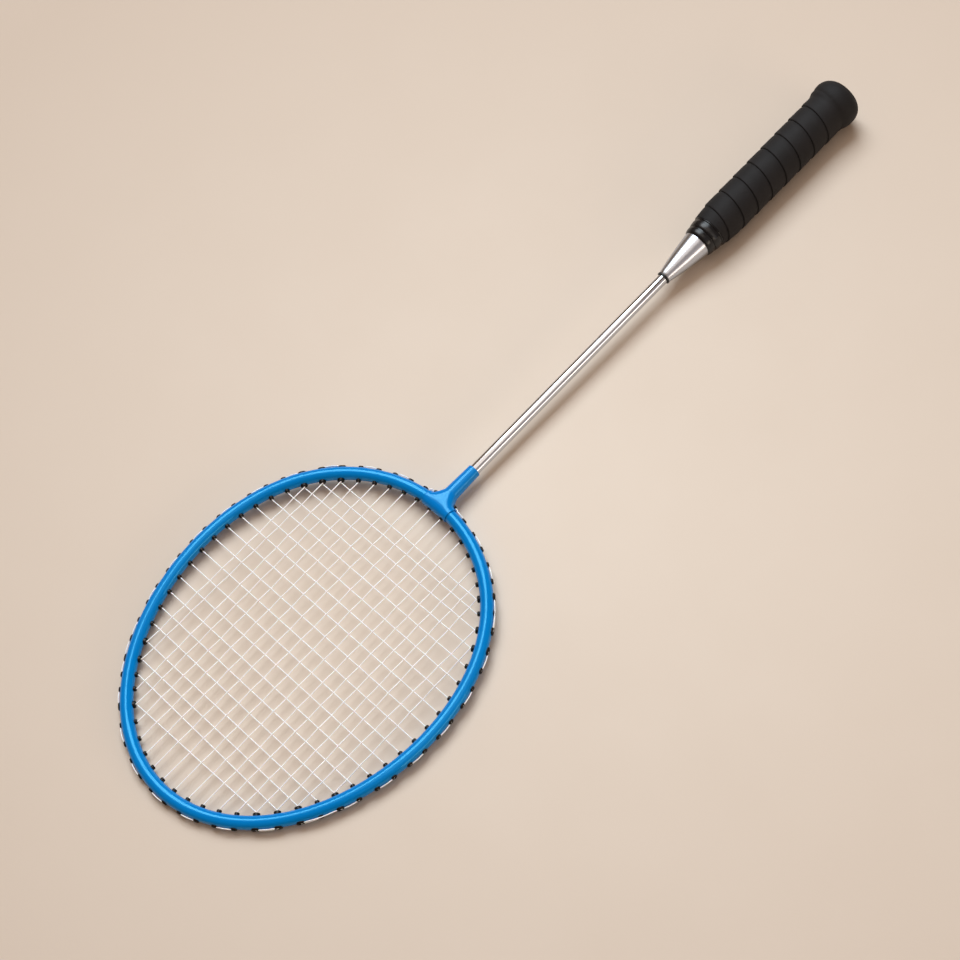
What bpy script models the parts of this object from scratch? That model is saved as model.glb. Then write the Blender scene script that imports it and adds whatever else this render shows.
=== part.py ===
"""A junior badminton racket: a strung oval head, a T joint, a steel shaft and a wrapped handle.

The racket lies in the XY plane and the strings face +Z. The origin is the middle of the butt's
end face, the shaft's axis is +Y, and the tip of the head is the far +Y end. Sizes are in metres.
"""

import math
from dataclasses import dataclass
from itertools import accumulate

import bmesh
import bpy
from mathutils import Matrix, Vector, kdtree

# Clearance between pieces that are pressed, glued or seated together
FIT_GAP = 0.00025

# Head tube
HEAD_TUBE_DIAMETER = 0.0084
HEAD_TUBE_WALL = 0.0006
HEAD_LENGTH = 0.2369  # along the tube's centre line, from the throat to the tip
HEAD_HALF_WIDTH = 0.0989
HEAD_EGG_RATIO = 0.062  # how far the oval's widest place moves toward the throat
HEAD_FULLNESS_RATIO = 0.036  # how square the oval's shoulders are

# T joint
SLEEVE_LENGTH = 0.0204
SLEEVE_END_DIAMETER = 0.0098
SLEEVE_SWELL = 0.0004  # how much the sleeve's radius grows toward its middle
STEM_LENGTH = 0.0314  # from the head tube's centre line
STEM_BASE_DIAMETER = 0.0098
STEM_END_DIAMETER = 0.0084
STEM_EDGE = 0.0003  # rounding of the stem's end
FILLET_TOP = 0.0120  # where the flare into the sleeve starts, from the centre line
FILLET_SPREAD = 0.0045
STEM_SOCKET_DEPTH = 0.0190
THROAT_EXIT = 0.0080  # where the middle main strings leave the T, from the axis

# Shaft
SHAFT_DIAMETER = 0.0070
SHAFT_WALL = 0.0006
SHAFT_SHOWING = 0.1722
SHAFT_IN_HANDLE = 0.0800  # below the cone's wide end

# Cone and its ring
RING_DIAMETER = 0.0086
RING_LENGTH = 0.0011
CONE_LENGTH = 0.0310
CONE_NARROW_DIAMETER = 0.0085
CONE_WIDE_DIAMETER = 0.0187
CONE_BULGE = 0.00035
CONE_WALL = 0.0010
CONE_COLLAR = 0.0080  # solid length at the narrow end, bored for the shaft

# Handle
GRIP_LENGTH = 0.1300
GRIP_BODY_DIAMETER = 0.0273
GRIP_NECK_DIAMETER = 0.0283
GRIP_TOP_DIAMETER = 0.0243
GRIP_RISE = 0.0120  # length over which the first turn climbs to the body
NECK_PLACE = 0.0193  # narrowest place above the flare
BUTT_DIAMETER = 0.0323
BUTT_CORNER = 0.0061
WRAP_PITCH = 0.01345
WRAP_PLACE = 0.0049  # where an edge of the band crosses the -X side
WRAP_THICKNESS = 0.0016
WRAP_STEP = 0.0005  # how far each turn's edge toward the head stands over the next turn
WRAP_SEAM = 0.00045
TAPE_LENGTH = 0.0119
TAPE_THICKNESS = 0.0008
TAPE_STEP = 0.0003
TAPE_STEP_PLACE = 0.0054  # from the tape's wide end
CAP_THICKNESS = 0.0020
CAP_SPIGOT_DIAMETER = 0.0080
CAP_SPIGOT_LENGTH = 0.0110
CORE_SPIGOT_LENGTH = 0.0080  # wood that reaches into the cone

# Strings; the mains are spaced by the head's half width and the crosses by its length
STRING_DIAMETER = 0.0007
MAIN_COUNT = 18
MAIN_MIDDLE_GAP_RATIO = 0.1052
MAIN_OUTER_GAP_RATIO = 0.0880
MAIN_NARROWING_GAPS = 5  # gaps over which the spacing falls from the one to the other
MAIN_OFFSET = -0.0018  # the mains sit a little to one side of the axis
CROSS_COUNT = 19
CROSS_FIRST_RATIO = 0.1186  # from the throat's centre line
CROSS_FIRST_GAP_RATIO = 0.0300
CROSS_OUTER_GAP_RATIO = 0.03947
CROSS_MIDDLE_EXTRA_RATIO = 0.0055  # how much wider the gaps are halfway up the head
STRING_GAP = 0.00035  # between a main and a cross where they pass
BORE_RISE = 0.00015  # mains lie this far above, and crosses below, the middle of their own bore
SHARED_RISE = 0.00052
SPAN_RISE = 0.00080
STRING_TAIL = 0.0012
SPAN_POINT_SPACING = 0.0090

# Grommets
BARREL_DIAMETER = 0.0030
BORE_DIAMETER = 0.0018
SHARED_BARREL_DIAMETER = 0.0039
SHARED_BORE_DIAMETER = 0.0027
THROAT_BARREL_DIAMETER = 0.0026
BARREL_INSIDE = 0.0014  # how far a barrel stands out inside the head
FLANGE_THICKNESS = 0.0006
FLANGE_WIDTH = 0.0008  # how far a flange reaches past its barrel
BRIDGE_WIDTH = 0.0016
BRIDGE_THICKNESS = 0.0003
SHARE_REACH_RATIO = 0.0300  # a main nearer than this share of the head shares a cross's hole

# Facets; a bevelled curve has 4 sides and 2 more for each step of its resolution
HEAD_SEGMENTS = 52
HEAD_TUBE_RESOLUTION = 3
SLEEVE_RESOLUTION = 6
TURNED_STEPS = 16
GROMMET_STEPS = 6
CONE_BANDS = 4
FLARE_BANDS = 3
SHARP_ANGLE = math.radians(35)
WELD_DISTANCE = 1e-6

# Search for a place on the oval, and the check of the string routes
HALVINGS = 50
SLOPE_STEP = 1e-4
SAMPLE_SPACING = 0.0004
SEARCH_RADIUS = 0.0090

# Places along the axis, stacked from the butt
TAPE_START = GRIP_LENGTH
CONE_START = TAPE_START + TAPE_LENGTH
RING_START = CONE_START + CONE_LENGTH
SHAFT_OUT = RING_START + RING_LENGTH
STEM_END = SHAFT_OUT + SHAFT_SHOWING
THROAT_Y = STEM_END + STEM_LENGTH

HEAD_TUBE_RADIUS = HEAD_TUBE_DIAMETER / 2
SHARE_REACH = SHARE_REACH_RATIO * (HEAD_LENGTH / 2 + HEAD_HALF_WIDTH)
STRING_RADIUS = STRING_DIAMETER / 2
FLANGE_TOP = HEAD_TUBE_RADIUS + FIT_GAP + FLANGE_THICKNESS
STRING_LIFT = STRING_RADIUS + STRING_GAP  # string centre above what it passes over
WEAVE = STRING_DIAMETER + STRING_GAP
MOUTH_DEPTH = HEAD_TUBE_RADIUS + BARREL_INSIDE + STRING_RADIUS  # where a string bends inside the head
BAND_GUIDE = GRIP_BODY_DIAMETER / 2  # radius of the plain rod that the band is first wound on


# Scene, materials and objects


def clear_scene():
    """Removes whatever the open file holds."""
    for obj in list(bpy.data.objects):
        bpy.data.objects.remove(obj)


def new_collection(name, hidden=False):
    """A collection in the scene; a hidden one holds cutters."""
    collection = bpy.data.collections.new(name)
    bpy.context.scene.collection.children.link(collection)
    collection.hide_render = hidden
    return collection


def linear(channel):
    """One sRGB channel, 0 to 255, as a linear value."""
    share = channel / 255
    return share / 12.92 if share <= 0.04045 else ((share + 0.055) / 1.055) ** 2.4


def new_material(name, rgb, roughness, metallic=0.0):
    """A Principled material from an sRGB colour."""
    material = bpy.data.materials.new(name)
    material.use_nodes = True
    shader = material.node_tree.nodes["Principled BSDF"]
    colour = (*(linear(channel) for channel in rgb), 1)
    shader.inputs["Base Color"].default_value = colour
    shader.inputs["Roughness"].default_value = roughness
    shader.inputs["Metallic"].default_value = metallic
    material.diffuse_color = colour
    return material


def add_object(name, data, collection):
    """Links a new object that shows this data."""
    obj = bpy.data.objects.new(name, data)
    collection.objects.link(obj)
    return obj


def add_cutter(name, mesh):
    """A wire-drawn helper that only a Boolean uses."""
    cutter = add_object(name, mesh, CUTTERS)
    cutter.hide_render = True
    cutter.display_type = "WIRE"
    return cutter


def finish(obj, material):
    """Gives a part its material, smooth shading and its place under the racket's empty."""
    obj.data.materials.clear()
    obj.data.materials.append(material)
    if obj.type == "MESH":
        obj.data.shade_smooth()
        obj.data.set_sharp_from_angle(angle=SHARP_ANGLE)
    obj.parent = RACKET
    return obj


# Shapes


def evaluated_mesh(obj):
    """A copy of the mesh that the object shows, with the loose caps of a curve welded."""
    graph = bpy.context.evaluated_depsgraph_get()
    mesh = bpy.data.meshes.new_from_object(obj.evaluated_get(graph))
    shape = bmesh.new()
    shape.from_mesh(mesh)
    bmesh.ops.remove_doubles(shape, verts=shape.verts, dist=WELD_DISTANCE)
    shape.to_mesh(mesh)
    shape.free()
    return mesh


def turned_mesh(name, profile, steps, closed=False, pitch=0.0, turns=1):
    """A profile of (radius, height) points turned about Z; a pitch makes it climb like a thread."""
    mesh = bpy.data.meshes.new(name)
    edges = [(k, k + 1) for k in range(len(profile) - 1)]
    if closed:
        edges.append((len(profile) - 1, 0))
    mesh.from_pydata([(radius, 0, height) for radius, height in profile], edges, [])
    blank = add_object(name, mesh, CUTTERS)
    screw = blank.modifiers.new("Screw", "SCREW")
    screw.steps = steps
    screw.render_steps = steps
    screw.screw_offset = pitch
    screw.iterations = turns
    screw.use_merge_vertices = True
    screw.merge_threshold = WELD_DISTANCE
    result = evaluated_mesh(blank)
    bpy.data.objects.remove(blank)
    return result


def turned_part(name, profile, steps, closed=False):
    """A part turned about the shaft's axis, whose profile heights count from the butt."""
    part = add_object(name, turned_mesh(name, profile, steps, closed), PARTS)
    part.rotation_euler = (-math.pi / 2, 0, 0)
    return part


def tube_mesh(name, points, radius, resolution, caps=True, growth=None):
    """A round tube along the points; growth scales its radius point by point."""
    blank = add_object(name, tube_curve(name, points, radius, resolution, caps, growth), CUTTERS)
    result = evaluated_mesh(blank)
    bpy.data.objects.remove(blank)
    return result


def tube_curve(name, points, radius, resolution, caps=True, growth=None):
    """The bevelled curve behind a tube."""
    curve = bpy.data.curves.new(name, "CURVE")
    curve.dimensions = "3D"
    curve.bevel_depth = radius
    curve.bevel_resolution = resolution
    curve.use_fill_caps = caps
    spline = curve.splines.new("POLY")
    spline.points.add(len(points) - 1)
    for k, point in enumerate(points):
        spline.points[k].co = (*point, 1)
        spline.points[k].radius = growth[k] if growth else 1
    return curve


def facing(outward):
    """A rotation whose Z looks outward and whose Y is the racket's +Z, where that is square to it."""
    if abs(outward.z) > 0.5:
        return Matrix.Identity(4)
    upward = Vector((0, 0, 1))
    return Matrix((upward.cross(outward), upward, outward)).transposed().to_4x4()


def rods_mesh(name, rods, steps):
    """One mesh of straight rods, each given by its centre, direction, start, end and radius."""
    shape = bmesh.new()
    quarter_turn = Matrix.Rotation(math.pi / 2, 4, "Z")  # puts a corner on X, as turned pieces have
    for centre, direction, start, end, radius in rods:
        middle = centre + direction * (start + end) / 2
        bmesh.ops.create_cone(
            shape,
            cap_ends=True,
            segments=steps,
            radius1=radius,
            radius2=radius,
            depth=end - start,
            matrix=Matrix.Translation(middle) @ facing(direction) @ quarter_turn,
        )
    mesh = bpy.data.meshes.new(name)
    shape.to_mesh(mesh)
    shape.free()
    return mesh


def boolean(target, other, operation):
    """A live Boolean on the target."""
    modifier = target.modifiers.new(other.name, "BOOLEAN")
    modifier.operation = operation
    modifier.object = other


# The head's oval


def head_point(angle):
    """A point of the head tube's centre line; angle 0 is the throat and pi the tip."""
    swell = 1 + HEAD_EGG_RATIO * math.cos(angle) + HEAD_FULLNESS_RATIO * math.cos(angle) ** 2
    across = HEAD_HALF_WIDTH * math.sin(angle) * swell
    along = THROAT_Y + HEAD_LENGTH / 2 * (1 - math.cos(angle))
    return Vector((across, along, 0))


def head_outward(angle):
    """The direction out of the oval, square to the tube."""
    along = (head_point(angle + SLOPE_STEP) - head_point(angle - SLOPE_STEP)).normalized()
    return Vector((along.y, -along.x, 0))


def mouth_point(angle):
    """Where a string that uses a hole at this angle leaves its grommet inside the head."""
    return head_point(angle) - head_outward(angle) * MOUTH_DEPTH


def solve_angle(axis, value, low, high):
    """The angle between low and high at which the mouth point has this X (axis 0) or Y (axis 1)."""
    rising = mouth_point(high)[axis] > mouth_point(low)[axis]
    for _ in range(HALVINGS):
        middle = (low + high) / 2
        if (mouth_point(middle)[axis] < value) == rising:
            low = middle
        else:
            high = middle
    return (low + high) / 2


def angle_at_sleeve(across):
    """The angle at which the centre line is this far from the axis, near the throat."""
    low, high = -math.pi / 3, math.pi / 3
    for _ in range(HALVINGS):
        middle = (low + high) / 2
        if head_point(middle).x < across:
            low = middle
        else:
            high = middle
    return (low + high) / 2


# The string pattern


@dataclass
class Hole:
    """A string hole with its grommet: distances run from the tube's centre line."""

    angle: float
    centre: Vector
    outward: Vector
    inside: float
    outside: float
    bore: float
    barrel: float
    flanged: bool = True
    shared: bool = False

    def inner_point(self, side):
        """The string's bend inside the head; side is 1 for a main and -1 for a cross."""
        return self.centre - self.outward * (self.inside + STRING_RADIUS) + self.lift(side)

    def outer_point(self, side):
        """The string's bend outside the head."""
        return self.centre + self.outward * (self.outside + STRING_LIFT) + self.lift(side)

    def lift(self, side):
        """How far the string is off the middle of its bore."""
        return Vector((0, 0, side * (SHARED_RISE if self.shared else BORE_RISE)))


def ring_hole(angle, shared=False):
    """A hole square through the head tube."""
    return Hole(
        angle=angle,
        centre=head_point(angle),
        outward=head_outward(angle),
        inside=HEAD_TUBE_RADIUS + BARREL_INSIDE,
        outside=FLANGE_TOP,
        bore=(SHARED_BORE_DIAMETER if shared else BORE_DIAMETER) / 2,
        barrel=(SHARED_BARREL_DIAMETER if shared else BARREL_DIAMETER) / 2,
        shared=shared,
    )


def throat_hole(across):
    """A slanted hole through the T joint and the tube end in it, clear of the stem's flare."""
    sleeve_radius = SLEEVE_END_DIAMETER / 2 + SLEEVE_SWELL
    inner = Vector((across, THROAT_Y + sleeve_radius, 0))
    outer = Vector((math.copysign(THROAT_EXIT, across), THROAT_Y - sleeve_radius, 0))
    outward = (outer - inner).normalized()
    centre = (inner + outer) / 2
    half = (outer - inner).length / 2
    return Hole(
        angle=angle_at_sleeve(centre.x),
        centre=centre,
        outward=outward,
        inside=half + BARREL_INSIDE,
        outside=half + BARREL_INSIDE,
        bore=BORE_DIAMETER / 2,
        barrel=THROAT_BARREL_DIAMETER / 2,
        flanged=False,
    )


def main_places():
    """The mains' X, from +X to -X: widest spacing in the middle."""
    halves = [HEAD_HALF_WIDTH * MAIN_MIDDLE_GAP_RATIO / 2]
    for k in range(1, MAIN_COUNT // 2):
        narrowing = min(k / MAIN_NARROWING_GAPS, 1)
        ratio = MAIN_MIDDLE_GAP_RATIO + (MAIN_OUTER_GAP_RATIO - MAIN_MIDDLE_GAP_RATIO) * narrowing
        halves.append(halves[-1] + HEAD_HALF_WIDTH * ratio)
    places = [MAIN_OFFSET + sign * half for half in halves for sign in (1, -1)]
    return sorted(places, reverse=True)


def cross_places():
    """The crosses' Y, from the tip to the throat."""
    ratios = [CROSS_FIRST_RATIO, CROSS_FIRST_GAP_RATIO]
    regular = CROSS_COUNT - 2
    for k in range(regular):
        swell = math.sin(math.pi * (k + 0.5) / regular)
        ratios.append(CROSS_OUTER_GAP_RATIO + CROSS_MIDDLE_EXTRA_RATIO * swell)
    return [THROAT_Y + HEAD_LENGTH * place for place in accumulate(ratios)][::-1]


def nearest_cross_hole(angle, cross_angles):
    """The cross whose hole lies within reach of this angle along the tube, or None."""
    here = head_point(angle)
    near = min(cross_angles, key=lambda cross: (head_point(cross_angles[cross]) - here).length)
    close = (head_point(cross_angles[near]) - here).length < SHARE_REACH
    return near if close else None


def string_holes():
    """All the holes, keyed by ("main", number, "tip" or "throat") and ("cross", number, side).

    Numbers start at 1. A main near the end of a cross shares that cross's hole, halfway between.
    """
    ends = {}
    for number, along in enumerate(CROSS_Y, 1):
        ends["cross", number, "plus"] = solve_angle(1, along, 0, math.pi)
        ends["cross", number, "minus"] = solve_angle(1, along, math.pi, 2 * math.pi)
    holes = {}
    shared = {}
    for number, across in enumerate(MAIN_X, 1):
        side = "plus" if across > 0 else "minus"
        crosses = {key: angle for key, angle in ends.items() if key[2] == side}
        for end, low, high in (
            ("tip", math.pi / 2, 3 * math.pi / 2),
            ("throat", -math.pi / 2, math.pi / 2),
        ):
            key = ("main", number, end)
            if end == "throat" and abs(across) < SLEEVE_LENGTH / 2:
                holes[key] = throat_hole(across)
                continue
            angle = solve_angle(0, across, low, high) % (2 * math.pi)
            cross = nearest_cross_hole(angle, crosses)
            if cross is None:
                holes[key] = ring_hole(angle)
            else:
                shared[key] = cross
                ends[cross] = (angle + crosses[cross]) / 2
    for key, angle in ends.items():
        holes[key] = ring_hole(angle, shared=key in shared.values())
    for key, cross in shared.items():
        holes[key] = holes[cross]
    return holes


def crossings_of_main(number):
    """The numbers of the crosses that this main passes, from the throat to the tip."""
    across = MAIN_X[number - 1]
    low = HOLES["main", number, "throat"]
    high = HOLES["main", number, "tip"]
    side = "plus" if across > 0 else "minus"
    found = []
    for cross in range(CROSS_COUNT, 0, -1):
        end = HOLES["cross", cross, side]
        if end is low or end is high:
            continue
        along = CROSS_Y[cross - 1]
        inside = low.inner_point(1).y < along < high.inner_point(1).y
        if inside and abs(across) < abs(end.inner_point(-1).x):
            found.append(cross)
    return found


def main_pass(number):
    """One main from its throat hole to its tip hole, over and under the crosses."""
    across = MAIN_X[number - 1]
    low = HOLES["main", number, "throat"]
    high = HOLES["main", number, "tip"]
    points = [low.outer_point(1), low.inner_point(1)]
    for cross in crossings_of_main(number):
        over = 1 if (number + cross) % 2 else -1
        points.append(Vector((across, CROSS_Y[cross - 1], over * WEAVE)))
    return points + [high.inner_point(1), high.outer_point(1)]


def cross_pass(number):
    """One cross from the +X side to the -X side, straight between the outermost mains."""
    along = CROSS_Y[number - 1]
    plus = HOLES["cross", number, "plus"]
    minus = HOLES["cross", number, "minus"]
    passed = [MAIN_X[main - 1] for main in range(1, MAIN_COUNT + 1) if number in PASSED[main]]
    field = [Vector((across, along, 0)) for across in (passed[0], passed[-1])]
    ends = [plus.outer_point(-1), plus.inner_point(-1)]
    return ends + field + [minus.inner_point(-1), minus.outer_point(-1)]


def outside_span(start, end, side):
    """The string's way round the outside of the tube, between two holes."""
    if not (start.flanged and end.flanged):
        return []
    turn = end.angle - start.angle
    turn -= 2 * math.pi * round(turn / (2 * math.pi))
    length = abs(turn) * HEAD_LENGTH / 2
    count = max(1, math.ceil(length / SPAN_POINT_SPACING) - 1)
    points = []
    for k in range(1, count + 1):
        angle = start.angle + turn * k / (count + 1)
        place = head_point(angle) + head_outward(angle) * (FLANGE_TOP + STRING_LIFT)
        points.append(place + Vector((0, 0, side * SPAN_RISE)))
    return points


def main_route():
    """The whole main string: up one main, round outside the tip, down the next, and so on."""
    points = []
    for number in range(1, MAIN_COUNT + 1):
        upward = number % 2 == 1
        leg = main_pass(number) if upward else main_pass(number)[::-1]
        if number > 1:
            end = "throat" if upward else "tip"
            before = HOLES["main", number - 1, end]
            points += outside_span(before, HOLES["main", number, end], 1)
        points += leg
    return with_tails(points)


def cross_route():
    """The whole cross string, from the tip to the throat."""
    points = []
    for number in range(1, CROSS_COUNT + 1):
        from_plus = number % 2 == 1
        leg = cross_pass(number) if from_plus else cross_pass(number)[::-1]
        if number > 1:
            side = "plus" if from_plus else "minus"
            before = HOLES["cross", number - 1, side]
            points += outside_span(before, HOLES["cross", number, side], -1)
        points += leg
    return with_tails(points)


def with_tails(points):
    """Each end of a string runs on a little past its last hole."""
    first = points[0] + (points[0] - points[1]).normalized() * STRING_TAIL
    last = points[-1] + (points[-1] - points[-2]).normalized() * STRING_TAIL
    return [first] + points[1:-1] + [last]


# Parts of the head


def make_head_frame():
    """The painted steel tube, open at both ends, which meet inside the T joint."""
    start = angle_at_sleeve(FIT_GAP)
    turn = 2 * (math.pi - start)
    angles = [start + turn * k / HEAD_SEGMENTS for k in range(HEAD_SEGMENTS + 1)]
    points = [head_point(angle) for angle in angles]
    mesh = tube_mesh("head_frame", points, HEAD_TUBE_RADIUS, HEAD_TUBE_RESOLUTION, caps=False)
    frame = add_object("head_frame", mesh, PARTS)
    solidify = frame.modifiers.new("Wall", "SOLIDIFY")
    solidify.thickness = HEAD_TUBE_WALL
    solidify.offset = -1
    holes = rods_mesh("frame_holes", barrel_rods(), GROMMET_STEPS)
    boolean(frame, add_cutter("frame_holes", holes), "DIFFERENCE")
    return finish(frame, new_material("blue_paint", (6, 118, 200), 0.25, 0.1))


def barrel_rods(in_sleeve=False):
    """Rods a fit gap larger than each grommet's barrel, long enough to cut both walls."""
    rods = []
    for hole in unique_holes():
        if in_sleeve and hole.flanged:
            continue
        reach = hole.outside + HEAD_TUBE_WALL
        rods.append((hole.centre, hole.outward, -reach, reach, hole.barrel + FIT_GAP))
    return rods


def unique_holes():
    """Every hole once, although a shared one has several keys."""
    found = []
    for hole in HOLES.values():
        if not any(hole is other for other in found):
            found.append(hole)
    return found


def make_t_joint():
    """The moulded T: a sleeve for the tube's ends and a stem for the shaft."""
    half = SLEEVE_LENGTH / 2
    places = [-half, -half + STEM_EDGE, -half / 2, 0, half / 2, half - STEM_EDGE, half]
    points = [head_point(angle_at_sleeve(place)) for place in places]
    radius = SLEEVE_END_DIAMETER / 2
    swell = 1 + SLEEVE_SWELL / radius
    rounded = 1 - STEM_EDGE / 2 / radius
    growth = [rounded, 1, (1 + swell) / 2, swell, (1 + swell) / 2, 1, rounded]
    sleeve = tube_mesh("t_joint", points, radius, SLEEVE_RESOLUTION, growth=growth)
    joint = add_object("t_joint", sleeve, PARTS)
    boolean(joint, add_cutter("stem", stem_mesh()), "UNION")
    past_sleeve = half + SLEEVE_END_DIAMETER / 2
    reach = [-past_sleeve, -half / 2, 0, half / 2, past_sleeve]
    points = [head_point(angle_at_sleeve(place)) for place in reach]
    socket = tube_mesh("tube_socket", points, HEAD_TUBE_RADIUS + FIT_GAP, SLEEVE_RESOLUTION)
    boolean(joint, add_cutter("tube_socket", socket), "DIFFERENCE")
    boolean(joint, add_cutter("shaft_socket", shaft_socket_mesh()), "DIFFERENCE")
    holes = rods_mesh("throat_holes", barrel_rods(in_sleeve=True), GROMMET_STEPS)
    boolean(joint, add_cutter("throat_holes", holes), "DIFFERENCE")
    return finish(joint, new_material("blue_plastic", (0, 105, 190), 0.3))


def stem_half_width(along):
    """Half the stem's width at a distance from the tube's centre line: tapered, then flared."""
    share = (along - FILLET_TOP) / (STEM_LENGTH - FILLET_TOP)
    radius = (STEM_BASE_DIAMETER + (STEM_END_DIAMETER - STEM_BASE_DIAMETER) * max(share, 0)) / 2
    depth = (FILLET_TOP - along) / (FILLET_TOP - SLEEVE_END_DIAMETER / 2)
    if depth <= 0:
        return radius
    return radius + FILLET_SPREAD * (1 - math.sqrt(1 - min(depth, 1) ** 2))


def stem_mesh():
    """The stem as a loft of rings: round at the shaft, spread sideways where it meets the sleeve."""
    base = SLEEVE_END_DIAMETER / 2
    flare = [base + (FILLET_TOP - base) * share for share in (0, 0.05, 0.15, 0.35, 0.65, 1)]
    places = [base / 2] + flare + [(FILLET_TOP + STEM_LENGTH) / 2, STEM_LENGTH - STEM_EDGE]
    rings = [(place, stem_half_width(place)) for place in places]
    rings.append((STEM_LENGTH, STEM_END_DIAMETER / 2 - STEM_EDGE / 2))
    shape = bmesh.new()
    loops = []
    for place, half_width in rings:
        half_height = min(half_width, STEM_BASE_DIAMETER / 2)
        loop = []
        for k in range(TURNED_STEPS):
            angle = 2 * math.pi * k / TURNED_STEPS
            corner = (half_width * math.cos(angle), THROAT_Y - place, half_height * math.sin(angle))
            loop.append(shape.verts.new(corner))
        loops.append(loop)
    for first, second in zip(loops, loops[1:]):
        for k in range(TURNED_STEPS):
            after = (k + 1) % TURNED_STEPS
            shape.faces.new((first[k], first[after], second[after], second[k]))
    shape.faces.new(loops[0])
    shape.faces.new(loops[-1])
    bmesh.ops.recalc_face_normals(shape, faces=shape.faces)
    mesh = bpy.data.meshes.new("stem")
    shape.to_mesh(mesh)
    shape.free()
    return mesh


def shaft_socket_mesh():
    """The bore in the stem, open at the stem's end."""
    centre = Vector((0, STEM_END, 0))
    bore = SHAFT_DIAMETER / 2 + FIT_GAP
    rod = (centre, Vector((0, 1, 0)), -STEM_SOCKET_DEPTH, STEM_SOCKET_DEPTH, bore)
    return rods_mesh("shaft_socket", [rod], TURNED_STEPS)


# Grommets


def grommet_mesh(hole):
    """A turned eyelet in the hole's own frame: barrel through the tube, flange outside."""
    seat = hole.outside - FLANGE_THICKNESS if hole.flanged else hole.outside
    brim = hole.barrel + FLANGE_WIDTH
    profile = [(hole.bore, -hole.inside), (hole.bore, hole.outside)]
    if hole.flanged:
        profile += [(brim, hole.outside), (brim, seat)]
    profile += [(hole.barrel, seat), (hole.barrel, -hole.inside)]
    mesh = turned_mesh("grommet", profile, GROMMET_STEPS, closed=True)
    mesh.transform(Matrix.Translation(hole.centre) @ facing(hole.outward))
    return mesh


def bridge_mesh(first, second):
    """The flat web that joins two flanges under their string span, clear of both bores."""
    level = FLANGE_TOP - FLANGE_THICKNESS / 2
    start = first.centre + first.outward * level
    end = second.centre + second.outward * level
    along = (end - start).normalized()
    start += along * (first.bore + (first.barrel - first.bore) / 2)
    end -= along * (second.bore + (second.barrel - second.bore) / 2)
    shape = bmesh.new()
    bmesh.ops.create_cube(shape, size=1)
    size = ((end - start).length, BRIDGE_WIDTH, BRIDGE_THICKNESS)
    turn = Matrix((along, Vector((0, 0, 1)), along.cross(Vector((0, 0, 1))))).transposed().to_4x4()
    place = Matrix.Translation((start + end) / 2) @ turn @ Matrix.Diagonal((*size, 1))
    bmesh.ops.transform(shape, matrix=place, verts=shape.verts)
    mesh = bpy.data.meshes.new("bridge")
    shape.to_mesh(mesh)
    shape.free()
    return mesh


def grommet_groups():
    """Holes that one grommet piece serves: two where a string runs from the one to the other."""
    used = []
    groups = []
    spans = [
        (f"cross_{{:02d}}_{{:02d}}_{side}", ("cross", number, side), ("cross", number + 1, side))
        for side, first in (("plus", 2), ("minus", 1))
        for number in range(first, CROSS_COUNT, 2)
    ]
    spans += [
        (f"main_{{:02d}}_{{:02d}}_{end}", ("main", number, end), ("main", number + 1, end))
        for end, first in (("tip", 1), ("throat", 2))
        for number in range(first, MAIN_COUNT, 2)
    ]
    for label, *keys in spans:
        holes = [HOLES[key] for key in keys]
        if all(hole.flanged and not any(hole is other for other in used) for hole in holes):
            used += holes
            groups.append((label.format(keys[0][1], keys[1][1]), holes))
    for key, hole in HOLES.items():
        if not any(hole is other for other in used):
            used.append(hole)
            groups.append((f"{key[0]}_{key[1]:02d}_{key[2]}", [hole]))
    return groups


def make_grommets():
    """The nylon eyelets: pairs share one piece where a string span joins them."""
    nylon = new_material("black_nylon", (22, 22, 24), 0.45)
    for label, holes in grommet_groups():
        name = ("grommets_" if len(holes) > 1 else "grommet_") + label
        part = add_object(name, grommet_mesh(holes[0]), PARTS)
        if len(holes) > 1:
            boolean(part, add_cutter(name + "_bridge", bridge_mesh(*holes)), "UNION")
            boolean(part, add_cutter(name + "_second", grommet_mesh(holes[1])), "UNION")
        finish(part, nylon)


def make_strings():
    """The two nylon strings: one weaves lengthwise, the other runs straight across."""
    nylon = new_material("string_nylon", (245, 236, 226), 0.35)
    for name, route in (("main_string", MAIN_ROUTE), ("cross_string", CROSS_ROUTE)):
        curve = tube_curve(name, route, STRING_RADIUS, 0)
        finish(add_object(name, curve, PARTS), nylon)


# Parts of the shaft and the handle


def make_shaft():
    """The chromed steel tube, from the handle core to the T joint's socket."""
    outer = SHAFT_DIAMETER / 2
    inner = outer - SHAFT_WALL
    top = STEM_END + STEM_SOCKET_DEPTH - FIT_GAP
    bottom = CONE_START - SHAFT_IN_HANDLE
    profile = [(outer, top), (outer, bottom), (inner, bottom), (inner, top)]
    shaft = turned_part("shaft", profile, TURNED_STEPS, closed=True)
    return finish(shaft, new_material("chrome", (205, 205, 208), 0.12, 1))


def make_cone_ring():
    """The thin black ring that closes the cone against the shaft."""
    outer = RING_DIAMETER / 2
    inner = SHAFT_DIAMETER / 2 + FIT_GAP
    foot = RING_START + FIT_GAP
    profile = [(outer, SHAFT_OUT), (outer, foot), (inner, foot), (inner, SHAFT_OUT)]
    ring = turned_part("cone_ring", profile, TURNED_STEPS, closed=True)
    return finish(ring, new_material("ring_black", (25, 25, 27), 0.4))


def cone_radius(height):
    """The cone's outer radius: nearly straight, a little full in the middle."""
    share = (height - CONE_START) / CONE_LENGTH
    straight = (CONE_WIDE_DIAMETER + (CONE_NARROW_DIAMETER - CONE_WIDE_DIAMETER) * share) / 2
    return straight + CONE_BULGE * math.sin(math.pi * share)


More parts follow.
